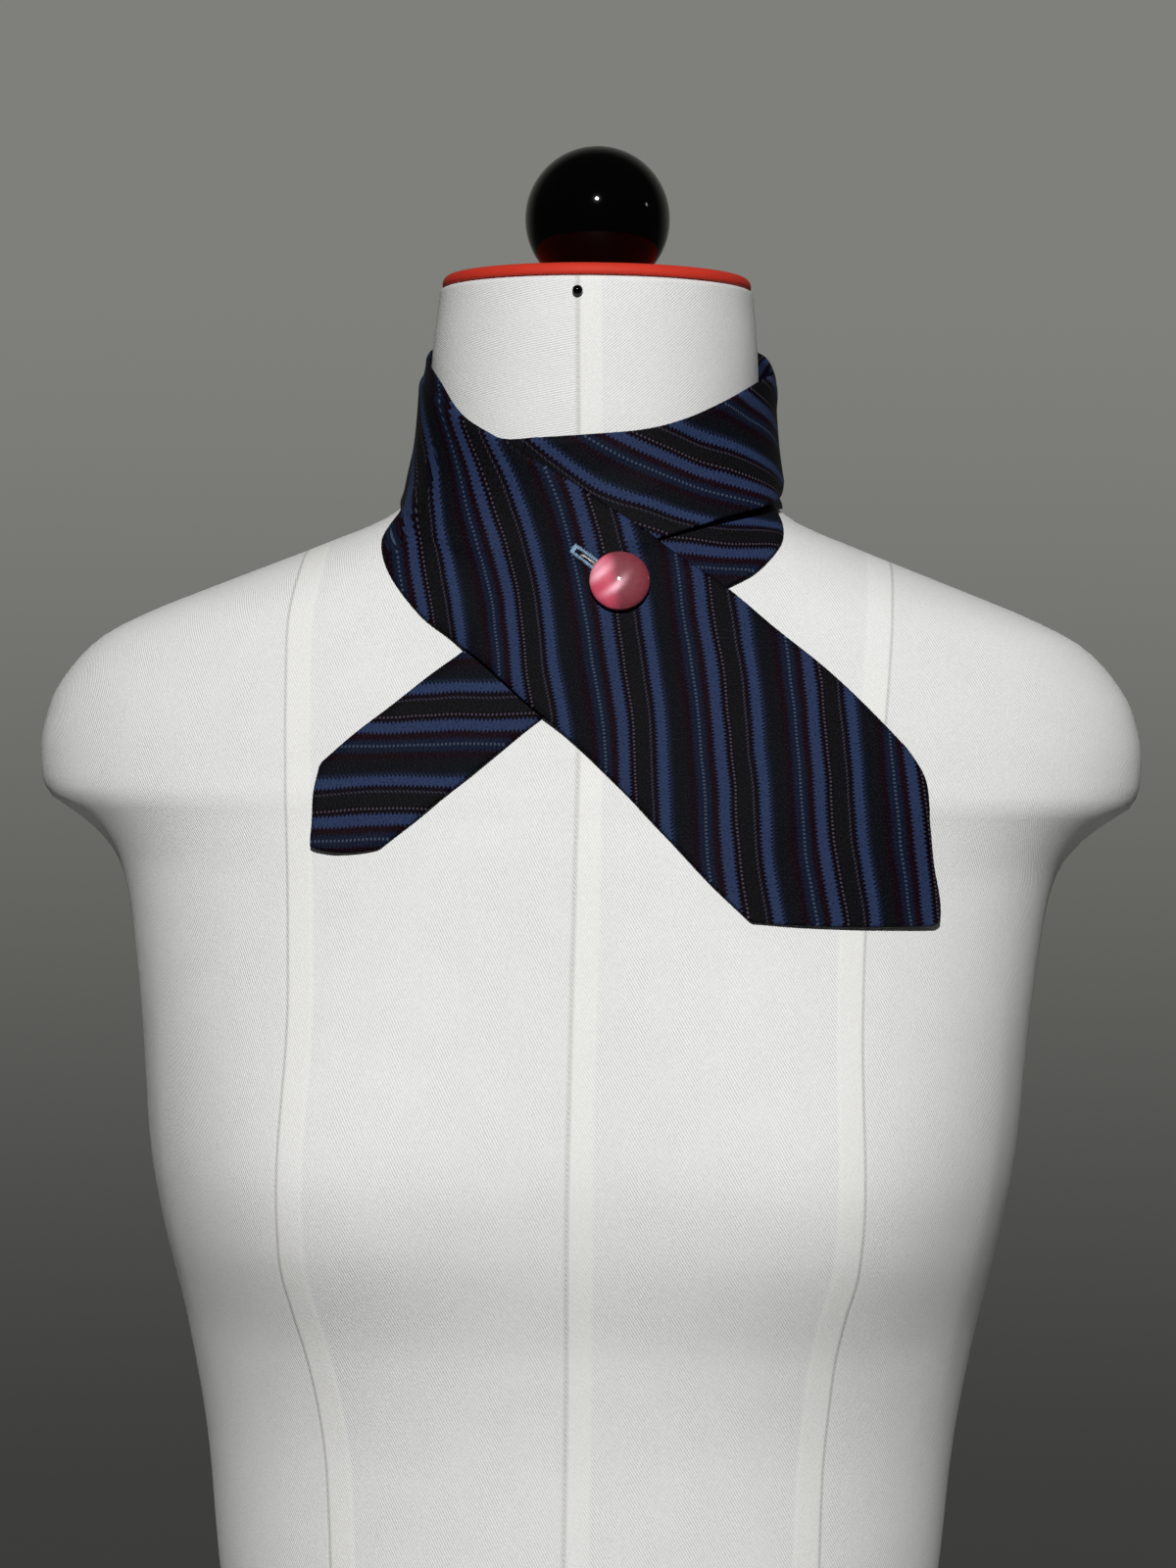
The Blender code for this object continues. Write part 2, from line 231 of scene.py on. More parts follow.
def turned_rings(profile: list[tuple[float, float]], around: int, place: Matrix) -> np.ndarray:
    """Rings of a turned shape.

    Args:
        profile: Pairs of radius and height in millimetres.
        around: Points in a ring.
        place: Frame of the shape, in metres.

    Returns:
        Points in metres, indexed by ring and by place round it.
    """
    turns = np.linspace(0, 2 * math.pi, around, endpoint=False)
    rows = [
        np.stack([r * np.cos(turns), r * np.sin(turns), np.full(around, h)], axis=-1)
        for r, h in profile
    ]
    turn = np.array(place.to_3x3())
    return np.array(rows) * MM @ turn.T + np.array(place.translation)


# Finishes


class ShaderSheet:
    """A material's node tree, with short methods for the nodes that this file uses."""

    def __init__(self, name: str) -> None:
        """Starts a material with one Principled shader.

        Args:
            name: Name of the material.
        """
        self.material = bpy.data.materials.new(name)
        self.material.use_nodes = True
        self.nodes = self.material.node_tree.nodes
        self.links = self.material.node_tree.links
        self.shader = self.nodes["Principled BSDF"]

    def feed(self, socket: bpy.types.NodeSocket, value: object) -> None:
        """Gives a socket its value.

        Args:
            socket: The socket to feed.
            value: Another socket to link it to, or a number or colour to set.
        """
        if isinstance(value, bpy.types.NodeSocket):
            self.links.new(value, socket)
        else:
            socket.default_value = value

    def math(self, operation: str, *values: object, clamp: bool = False) -> bpy.types.NodeSocket:
        """Works out a number.

        Args:
            operation: The Math node's operation.
            values: Up to three sockets or numbers.
            clamp: True to keep the result between 0 and 1.

        Returns:
            The result.
        """
        node = self.nodes.new("ShaderNodeMath")
        node.operation = operation
        node.use_clamp = clamp
        for socket, value in zip(node.inputs, values):
            self.feed(socket, value)
        return node.outputs[0]

    def mix(self, share: object, first: object, second: object) -> bpy.types.NodeSocket:
        """Mixes two colours.

        Args:
            share: How much of the second there is, from 0 to 1.
            first: The first colour.
            second: The second colour.

        Returns:
            The mixed colour.
        """
        node = self.nodes.new("ShaderNodeMix")
        node.data_type = "RGBA"
        self.feed(node.inputs["Factor"], share)
        self.feed(node.inputs[6], first)
        self.feed(node.inputs[7], second)
        return node.outputs[2]

    def ramp_up(self, value: object, low: float, high: float) -> bpy.types.NodeSocket:
        """Turns a number into a smooth rise.

        Args:
            value: The number.
            low: Where the rise starts.
            high: Where it ends. It is a fall if this is less than low.

        Returns:
            0 before the rise, 1 after it.
        """
        node = self.nodes.new("ShaderNodeMapRange")
        node.interpolation_type = "SMOOTHSTEP"
        self.feed(node.inputs["Value"], value)
        self.feed(node.inputs["From Min"], low)
        self.feed(node.inputs["From Max"], high)
        return node.outputs["Result"]

    def inside(self, value: object, low: float, high: float, soft: float) -> bpy.types.NodeSocket:
        """Tells where a number lies between two others.

        Args:
            value: The number.
            low: The lower bound.
            high: The upper bound.
            soft: Half the width of the soft edge at each bound.

        Returns:
            1 between the bounds, and 0 outside them.
        """
        rise = self.ramp_up(value, low - soft, low + soft)
        fall = self.ramp_up(value, high - soft, high + soft)
        return self.math("SUBTRACT", rise, fall, clamp=True)

    def flat(self) -> tuple[bpy.types.NodeSocket, bpy.types.NodeSocket]:
        """Reads the flat coordinates.

        Returns:
            The two coordinates in millimetres.
        """
        node = self.nodes.new("ShaderNodeUVMap")
        node.uv_map = FLAT_LAYER
        split = self.nodes.new("ShaderNodeSeparateXYZ")
        self.links.new(node.outputs["UV"], split.inputs[0])
        return tuple(self.math("MULTIPLY", split.outputs[k], 1 / MM) for k in (0, 1))

    def vector(self, x: object, y: object, z: object = 0.0) -> bpy.types.NodeSocket:
        """Joins three numbers.

        Args:
            x: The first number.
            y: The second number.
            z: The third number.

        Returns:
            The vector of the three.
        """
        node = self.nodes.new("ShaderNodeCombineXYZ")
        for socket, value in zip(node.inputs, (x, y, z)):
            self.feed(socket, value)
        return node.outputs[0]

    def noise(
        self, vector: bpy.types.NodeSocket, scale: float, detail: float = 2.0
    ) -> bpy.types.NodeSocket:
        """Makes soft noise.

        Args:
            vector: Where the noise is read.
            scale: How fine it is.
            detail: How many finer layers it has.

        Returns:
            A number from 0 to 1.
        """
        node = self.nodes.new("ShaderNodeTexNoise")
        self.links.new(vector, node.inputs["Vector"])
        node.inputs["Scale"].default_value = scale
        node.inputs["Detail"].default_value = detail
        return node.outputs[0]

    def place(self) -> bpy.types.NodeSocket:
        """The point's place on the object, in metres."""
        return self.nodes.new("ShaderNodeTexCoord").outputs["Object"]

    def attribute(self, name: str) -> bpy.types.NodeSocket:
        """Reads a number that is kept at the mesh's points.

        Args:
            name: Name of the attribute.

        Returns:
            The number.
        """
        node = self.nodes.new("ShaderNodeAttribute")
        node.attribute_name = name
        return node.outputs["Fac"]

    def bump(self, height: object, depth_mm: float) -> None:
        """Raises the surface.

        Args:
            height: The height, from 0 to about 1.
            depth_mm: How far a height of 1 raises it.
        """
        node = self.nodes.new("ShaderNodeBump")
        node.inputs["Distance"].default_value = depth_mm * MM
        self.feed(node.inputs["Height"], height)
        self.links.new(node.outputs[0], self.shader.inputs["Normal"])


def rgb(red: float, green: float, blue: float) -> tuple[float, float, float, float]:
    """Turns the values that a screen would show into a colour of the shader.

    Args:
        red: Red, from 0 to 255.
        green: Green, from 0 to 255.
        blue: Blue, from 0 to 255.

    Returns:
        Linear red, green and blue, and an alpha of 1.
    """
    shares = (value / 255 for value in (red, green, blue))
    linear = (v / 12.92 if v <= 0.04045 else ((v + 0.055) / 1.055) ** 2.4 for v in shares)
    return (*linear, 1.0)


@dataclass(frozen=True)
class TwillCover:
    """White cotton twill over the form, with pressed seam allowances and fine stitched seams, whose
    grooves are greyed with the stitch line and painted shade.
    """

    pitch_mm: float = 0.87
    band_mm: float = 9.0
    band_from_mm: float = 0.4
    band_soft_mm: float = 1.0
    stitch_mm: float = 2.4
    body_slants: tuple[float, float] = (63.0, 60.0)
    neck_slants: tuple[float, float] = (-10.0, -40.0)
    neck_from_mm: float = 640.0
    wander: float = 1.6
    worn_loss: float = 0.35
    band_loss: float = 0.45
    twill_light: float = 0.72
    grain_light: float = 0.5
    cloud_light: float = 0.16
    light_shift: float = -0.25
    band_warmth: float = 0.6
    groove_line_and_shade: float = 0.34
    twill_rise: float = 0.26
    grain_rise: float = 0.34
    band_rise: float = 0.5
    groove_fall: float = 0.4
    relief_mm: float = 0.4
    groove_from_mm: float = 0.1
    centre_groove_mm: float = 1.5
    groove_mm: float = 0.8
    stitch_dots: float = 0.1
    stitch_base: float = 0.85
    wander_fine: float = 35.0
    grain_fine: float = 1100.0
    worn_fine: float = 60.0
    worn_from: float = 0.35
    worn_to: float = 0.7
    cloud_fine: float = 14.0
    roughness: float = 0.9
    specular: float = 0.12

    def material(self) -> bpy.types.Material:
        """Builds the material, which reads the seam distances that the form's mesh keeps.

        Returns:
            The finish of the cover.
        """
        sheet = ShaderSheet("twill_cover")
        across, up = sheet.flat()
        wander = sheet.noise(sheet.place(), self.wander_fine)
        wander = sheet.math("MULTIPLY_ADD", wander, self.wander, -self.wander / 2)
        right = sheet.math("GREATER_THAN", sheet.attribute(Seam.CENTRE.value), 0.0)
        neck = sheet.math("GREATER_THAN", up, self.neck_from_mm)
        body_wave, neck_wave = (
            self.choose(sheet, right, *(self.wave(sheet, across, up, a) for a in slants))
            for slants in (self.body_slants, self.neck_slants)
        )
        turn = sheet.math("ADD", self.choose(sheet, neck, body_wave, neck_wave), wander)
        twill = sheet.math("MULTIPLY_ADD", sheet.math("SINE", turn), 0.5, 0.5)
        band, groove = self.seams(sheet, up)
        grain = sheet.noise(sheet.place(), self.grain_fine, 3.0)
        worn = sheet.noise(sheet.place(), self.worn_fine, 4.0)
        worn = sheet.ramp_up(worn, self.worn_from, self.worn_to)
        faint = sheet.math("MULTIPLY_ADD", worn, -self.worn_loss, 1.0)
        kept = sheet.math("MULTIPLY_ADD", band, -self.band_loss, 1.0)
        faint = sheet.math("MULTIPLY", faint, kept)
        twill = sheet.math("MULTIPLY_ADD", sheet.math("SUBTRACT", twill, 0.5), faint, 0.5)
        cloud = sheet.noise(sheet.place(), self.cloud_fine, 3.0)
        light = sheet.math("MULTIPLY_ADD", twill, self.twill_light, self.light_shift)
        light = sheet.math("MULTIPLY_ADD", grain, self.grain_light, light)
        light = sheet.math("MULTIPLY_ADD", cloud, self.cloud_light, light, clamp=True)
        plain = sheet.mix(light, rgb(204, 204, 202), rgb(250, 250, 249))
        warm = sheet.mix(light, rgb(216, 215, 211), rgb(252, 251, 247))
        plain = sheet.mix(sheet.math("MULTIPLY", band, self.band_warmth), plain, warm)
        # The grey in the seam grooves is the stitch line and painted shade in the groove.
        seam_line_and_painted_shade = sheet.math("MULTIPLY", groove, self.groove_line_and_shade)
        colour = sheet.mix(seam_line_and_painted_shade, plain, rgb(158, 156, 150))
        sheet.feed(sheet.shader.inputs["Base Color"], colour)
        sheet.shader.inputs["Roughness"].default_value = self.roughness
        sheet.shader.inputs["Specular IOR Level"].default_value = self.specular
        height = sheet.math("MULTIPLY", grain, self.grain_rise)
        height = sheet.math("MULTIPLY_ADD", twill, self.twill_rise, height)
        height = sheet.math("MULTIPLY_ADD", band, self.band_rise, height)
        height = sheet.math("MULTIPLY_ADD", groove, -self.groove_fall, height)
        sheet.bump(height, self.relief_mm)
        return sheet.material

    def wave(self, sheet: ShaderSheet, across: object, up: object, slant: float) -> object:
        """Works out how far the twill's wave has turned.

        Args:
            sheet: The material being built.
            across: Distance round the form in millimetres.
            up: Height in millimetres.
            slant: How steeply the lines fall to the right, in degrees.

        Returns:
            The turn in radians.
        """
        lines = 2 * math.pi / self.pitch_mm
        side = sheet.math("MULTIPLY", across, math.sin(math.radians(slant)) * lines)
        return sheet.math("MULTIPLY_ADD", up, math.cos(math.radians(slant)) * lines, side)

    def choose(self, sheet: ShaderSheet, share: object, no: object, yes: object) -> object:
        """One number or another, by a share that is 0 or 1."""
        return sheet.math("MULTIPLY_ADD", sheet.math("SUBTRACT", yes, no), share, no)

    def seams(self, sheet: ShaderSheet, up: object) -> tuple[object, object]:
        """The pressed bands and the stitched grooves of all seams.

        Args:
            sheet: The material being built.
            up: Height in millimetres.

        Returns:
            Two masks from 0 to 1.
        """
        bands, grooves = [], []
        for seam in Seam:
            away = sheet.attribute(seam.value)
            band = sheet.inside(away, self.band_from_mm, self.band_mm, self.band_soft_mm)
            bands.append(band)
            apart = sheet.math("ABSOLUTE", away)
            wide = self.centre_groove_mm if seam is Seam.CENTRE else self.groove_mm
            edge = sheet.ramp_up(apart, self.groove_from_mm, wide)
            grooves.append(sheet.math("SUBTRACT", 1.0, edge))
        band = sheet.math("MAXIMUM", sheet.math("MAXIMUM", *bands[:2]), bands[2])
        groove = sheet.math("MAXIMUM", sheet.math("MAXIMUM", *grooves[:2]), grooves[2])
        stitch = sheet.math("SINE", sheet.math("MULTIPLY", up, 2 * math.pi / self.stitch_mm))
        dots = sheet.math("MULTIPLY_ADD", stitch, self.stitch_dots, self.stitch_base)
        return band, sheet.math("MULTIPLY", groove, dots)


@dataclass(frozen=True)
class RedSatin:
    """Red satin stretched over the neck cap."""

    weave_rise_mm: float = 0.06
    weave_fine: float = 1500.0
    cloud_fine: float = 60.0
    roughness: float = 0.6
    specular: float = 0.15

    def material(self) -> bpy.types.Material:
        """Builds the material.

        Returns:
            The finish of the cap.
        """
        sheet = ShaderSheet("red_satin")
        weave = sheet.noise(sheet.place(), self.weave_fine)
        cloud = sheet.noise(sheet.place(), self.cloud_fine)
        share = sheet.math("MULTIPLY_ADD", weave, 0.5, sheet.math("MULTIPLY", cloud, 0.5))
        colour = sheet.mix(share, rgb(186, 44, 30), rgb(216, 62, 44))
        sheet.feed(sheet.shader.inputs["Base Color"], colour)
        sheet.shader.inputs["Roughness"].default_value = self.roughness
        sheet.shader.inputs["Specular IOR Level"].default_value = self.specular
        sheet.bump(weave, self.weave_rise_mm)
        return sheet.material


@dataclass(frozen=True)
class GlossBlack:
    """Black gloss lacquer, for the ball and the pin's head."""

    smooth: float = 0.045
    smeared: float = 0.04
    smear_fine: float = 40.0
    specular: float = 0.16

    def material(self) -> bpy.types.Material:
        """Builds the material.

        Returns:
            The finish of the ball and the pin.
        """
        sheet = ShaderSheet("gloss_black")
        smear = sheet.noise(sheet.place(), self.smear_fine, 4.0)
        sheet.feed(sheet.shader.inputs["Base Color"], rgb(2, 2, 2))
        rough = sheet.math("MULTIPLY_ADD", smear, self.smeared, self.smooth)
        sheet.feed(sheet.shader.inputs["Roughness"], rough)
        sheet.shader.inputs["Specular IOR Level"].default_value = self.specular
        return sheet.material


@dataclass(frozen=True)
class Band:
    """One colour across the stripes: where it starts in a repeat, and its colour on a screen."""

    start_mm: float
    red: float
    green: float
    blue: float


@dataclass(frozen=True)
class DottedLine:
    """A line of woven dots: where it lies in a repeat, its colour, and how its dots lean."""

    low_mm: float
    high_mm: float
    red: float
    green: float
    blue: float
    lean: float


@dataclass(frozen=True)
class StripedSilk:
    """Woven silk with stripes that lie across the tie at a slant."""

    slant: float = math.radians(40.0)
    repeat_mm: float = 33.4
    tooth_mm: float = 1.41
    tooth_deep_mm: float = 1.3
    bands: tuple[Band, ...] = (
        Band(0.0, 45, 59, 92),
        Band(3.5, 17, 22, 36),
        Band(5.1, 15, 17, 22),
        Band(7.6, 17, 16, 20),
        Band(9.8, 22, 9, 16),
        Band(12.4, 21, 28, 47),
        Band(17.0, 25, 9, 17),
        Band(19.7, 45, 58, 91),
        Band(23.5, 15, 6, 13),
        Band(26.0, 18, 18, 19),
        Band(31.0, 17, 15, 22),
        Band(32.0, 16, 6, 15),
    )
    dotted: tuple[DottedLine, ...] = (
        DottedLine(14.5, 15.4, 74, 88, 108, 0.0),
        DottedLine(25.1, 25.8, 88, 82, 92, 0.0),
        DottedLine(31.0, 31.7, 72, 66, 80, 1.2),
        DottedLine(3.9, 4.7, 34, 41, 60, 0.6),
    )
    drift_mm: float = 2.4
    speck_share: float = 0.34
    deep_share: float = 0.6
    rib_share: float = 0.18
    ribs_a_tooth: int = 3
    dot_from: float = 0.26
    dot_to: float = 0.68
    dot_soft: float = 0.1
    dot_share: float = 0.75
    relief_mm: float = 0.05
    drift_fine: float = 0.035
    speck_fine: float = 1.9
    speck_long: float = 0.7
    grey_from: float = 0.52
    grey_to: float = 0.7
    deep_from: float = 0.5
    deep_to: float = 0.34
    roughness: float = 0.5
    specular: float = 0.02
    speck_rise: float = 0.4

    def material(self) -> bpy.types.Material:
        """Builds the material from the flat coordinates of the cloth.

        Returns:
            The finish of the tie.
        """
        sheet = ShaderSheet("striped_silk")
        along, down = sheet.flat()
        sine, cosine = math.sin(self.slant), math.cos(self.slant)
        over = sheet.math("MULTIPLY_ADD", along, sine, sheet.math("MULTIPLY", down, -cosine))
        run = sheet.math("MULTIPLY_ADD", along, cosine, sheet.math("MULTIPLY", down, sine))
        drift = sheet.noise(sheet.vector(over, run), self.drift_fine, 1.0)
        drift = sheet.math("SUBTRACT", drift, 0.5)
        over = sheet.math("MULTIPLY_ADD", drift, self.drift_mm, over)
        tooth = sheet.math("PINGPONG", run, self.tooth_mm / 2)
        tooth = sheet.math("MULTIPLY_ADD", tooth, 2 / self.tooth_mm, -0.5)
        toothed = sheet.math("MULTIPLY_ADD", tooth, self.tooth_deep_mm, over)
        colour = self.stripes(sheet, toothed)
        stretched = sheet.math("MULTIPLY", run, self.speck_long)
        speck = sheet.noise(sheet.vector(over, stretched), self.speck_fine)
        grey = sheet.ramp_up(speck, self.grey_from, self.grey_to)
        grey = sheet.math("MULTIPLY", grey, self.speck_share)
        colour = sheet.mix(grey, colour, rgb(44, 46, 58))
        deep = sheet.ramp_up(speck, self.deep_from, self.deep_to)
        deep = sheet.math("MULTIPLY", deep, self.deep_share)
        colour = sheet.mix(deep, colour, rgb(4, 3, 6))
        plain = sheet.math("FRACT", sheet.math("DIVIDE", over, self.repeat_mm))
        for line in self.dotted:
            colour = self.dots(sheet, colour, line, plain, run)
        rib_mm = self.tooth_mm / self.ribs_a_tooth
        rib = sheet.math("SINE", sheet.math("MULTIPLY", run, 2 * math.pi / rib_mm))
        rib = sheet.math("MULTIPLY_ADD", rib, 0.5, 0.5)
        colour = sheet.mix(sheet.math("MULTIPLY", rib, self.rib_share), colour, rgb(4, 4, 6))
        sheet.feed(sheet.shader.inputs["Base Color"], colour)
        sheet.shader.inputs["Roughness"].default_value = self.roughness
        sheet.shader.inputs["Specular IOR Level"].default_value = self.specular
        height = sheet.math("MULTIPLY_ADD", speck, self.speck_rise, rib)
        sheet.bump(height, self.relief_mm)
        return sheet.material

    def stripes(self, sheet: ShaderSheet, over: object) -> object:
        """Colours the bands.

        Args:
            sheet: The material being built.
            over: Distance across the stripes in millimetres.

        Returns:
            The colour of the band there.
        """
        share = sheet.math("FRACT", sheet.math("DIVIDE", over, self.repeat_mm))
        ramp = sheet.nodes.new("ShaderNodeValToRGB")
        ramp.color_ramp.interpolation = "CONSTANT"
        stops = ramp.color_ramp.elements
        for number, band in enumerate(self.bands):
            place = band.start_mm / self.repeat_mm
            stop = stops[number] if number < 2 else stops.new(place)
            stop.position = place
            stop.color = rgb(band.red, band.green, band.blue)
        sheet.links.new(share, ramp.inputs[0])
        return ramp.outputs[0]

    def dots(
        self, sheet: ShaderSheet, colour: object, line: DottedLine, share: object, run: object
    ) -> object:
        """Weaves in one dotted line.

        Args:
            sheet: The material being built.
            colour: The colour so far.
            line: The line.
            share: Place in the repeat, from 0 to 1.
            run: Distance along the stripe, in millimetres.

        Returns:
            The new colour.
        """
        over = sheet.math("MULTIPLY", share, self.repeat_mm)
        within = sheet.inside(over, line.low_mm, line.high_mm, self.dot_soft)
        leaning = sheet.math("MULTIPLY_ADD", over, line.lean, run)
        beat = sheet.math("FRACT", sheet.math("DIVIDE", leaning, self.tooth_mm))
        dot = sheet.inside(beat, self.dot_from, self.dot_to, self.dot_soft)
        share = sheet.math("MULTIPLY", sheet.math("MULTIPLY", within, dot), self.dot_share)
        return sheet.mix(share, colour, rgb(line.red, line.green, line.blue))


@dataclass(frozen=True)
class PaintedHighlightStreak:
    """A painted highlight streak on the pearl, in millimetres over and along its slant."""

    over: float
    along: float
    half_long: float
    half_wide: float
    highlight_amount: float


@dataclass(frozen=True)
class PearlPink:
    """Raspberry pearl of the button, with painted highlight streaks across its dome."""

    slant: float = math.radians(48.0)
    highlight_streaks: tuple[PaintedHighlightStreak, ...] = (
        PaintedHighlightStreak(-6.2, -3.4, 4.6, 1.8, 1.0),
        PaintedHighlightStreak(1.2, -3.0, 4.4, 1.4, 1.0),
        PaintedHighlightStreak(-9.2, -2.0, 4.0, 1.2, 0.5),
    )
    bow: float = 0.022
    wave_mm: float = 1.2
    lean: float = 0.8
    dull_from: float = -5.5
    dull_to: float = 0.5
    highlight_share: float = 0.95
    grain_mm: float = 0.01
    wave_fine: float = 0.4
    cloud_fine: float = 0.5
    grain_fine: float = 3.0
    roughness: float = 0.55
    specular: float = 0.2
    coat: float = 0.5
    coat_roughness: float = 0.03

    def material(self) -> bpy.types.Material:
        """Builds the material from the button's flat coordinates.

        Returns:
            The finish of the button.
        """
        sheet = ShaderSheet("pearl_pink")
        across, up = sheet.flat()
        c, s = math.cos(self.slant), math.sin(self.slant)
        along = sheet.math("MULTIPLY_ADD", across, c, sheet.math("MULTIPLY", up, s))
        over = sheet.math("MULTIPLY_ADD", across, s, sheet.math("MULTIPLY", up, -c))
        bow = sheet.math("MULTIPLY", along, along)
        over = sheet.math("MULTIPLY_ADD", bow, self.bow, over)
        wave = sheet.noise(sheet.vector(across, up), self.wave_fine)
        over = sheet.math("MULTIPLY_ADD", sheet.math("SUBTRACT", wave, 0.5), self.wave_mm, over)
        # Painted highlight: pale streaks of the pearl's sheen, fixed on the dome.
        highlight_amount = 0.0
        for highlight_streak in self.highlight_streaks:
            near = sheet.math("DIVIDE", sheet.math("SUBTRACT", over, highlight_streak.over), highlight_streak.half_wide)
            far = sheet.math("DIVIDE", sheet.math("SUBTRACT", along, highlight_streak.along), highlight_streak.half_long)
            near, far = (sheet.math("MULTIPLY", value, value) for value in (near, far))
            fade = sheet.math("EXPONENT", sheet.math("MULTIPLY", sheet.math("ADD", near, far), -1.0))
            highlight_amount = sheet.math("MULTIPLY_ADD", fade, highlight_streak.highlight_amount, highlight_amount, clamp=True)
        cloud = sheet.noise(sheet.vector(across, up), self.cloud_fine, 3.0)
        upper = sheet.math("MULTIPLY_ADD", over, self.lean, along)
        dull = sheet.ramp_up(upper, self.dull_from, self.dull_to)
        rich = sheet.mix(cloud, rgb(194, 68, 92), rgb(212, 84, 108))
        rose = sheet.mix(cloud, rgb(110, 40, 50), rgb(136, 60, 70))
        plain = sheet.mix(dull, rich, rose)
        highlight_amount = sheet.math("MULTIPLY", highlight_amount, self.highlight_share)
        # The streaks mix a pale pink into the colour as a painted highlight.
        colour = sheet.mix(highlight_amount, plain, rgb(255, 186, 202))
        sheet.feed(sheet.shader.inputs["Base Color"], colour)
        sheet.shader.inputs["Roughness"].default_value = self.roughness
        sheet.shader.inputs["Specular IOR Level"].default_value = self.specular
        sheet.shader.inputs["Coat Weight"].default_value = self.coat
        sheet.shader.inputs["Coat Roughness"].default_value = self.coat_roughness
        sheet.bump(sheet.noise(sheet.vector(across, up), self.grain_fine), self.grain_mm)
        return sheet.material


@dataclass(frozen=True)
class Thread:
    """Twisted sewing thread in one colour."""

    name: str
    red: float
    green: float
    blue: float
    depth: tuple[float, float, float] = (0.6, 0.6, 0.65)
    fibre_mm: float = 0.05
    fibre_fine: float = 5000.0
    roughness: float = 0.6
    sheen: float = 0.2

    def material(self) -> bpy.types.Material:
        """Builds the material.

        Returns:
            The finish of the thread.
        """
        sheet = ShaderSheet(self.name)
        fibre = sheet.noise(sheet.place(), self.fibre_fine)
        shown = (self.red, self.green, self.blue)
        full = rgb(*shown)
        deep = rgb(*(value * share for value, share in zip(shown, self.depth)))
        sheet.feed(sheet.shader.inputs["Base Color"], sheet.mix(fibre, deep, full))
        sheet.shader.inputs["Roughness"].default_value = self.roughness
        sheet.shader.inputs["Sheen Weight"].default_value = self.sheen
        sheet.bump(fibre, self.fibre_mm)
        return sheet.material


@dataclass(frozen=True)
class PaleFloor:
    """Matt pale floor of the studio."""

    cloud_fine: float = 3.0
    roughness: float = 0.8

    def material(self) -> bpy.types.Material:
        """Builds the material.

        Returns:
            The finish of the floor.
        """
        sheet = ShaderSheet("pale_floor")
        cloud = sheet.noise(sheet.place(), self.cloud_fine, 3.0)
        colour = sheet.mix(cloud, rgb(176, 176, 174), rgb(184, 184, 182))
        sheet.feed(sheet.shader.inputs["Base Color"], colour)
        sheet.shader.inputs["Roughness"].default_value = self.roughness
        return sheet.material


# The dress form


@dataclass(frozen=True)
class FormSection:
    """A level section of the form, in millimetres, and how square it is."""

    z: float
    half: float
    front: float
    back: float
    square: float


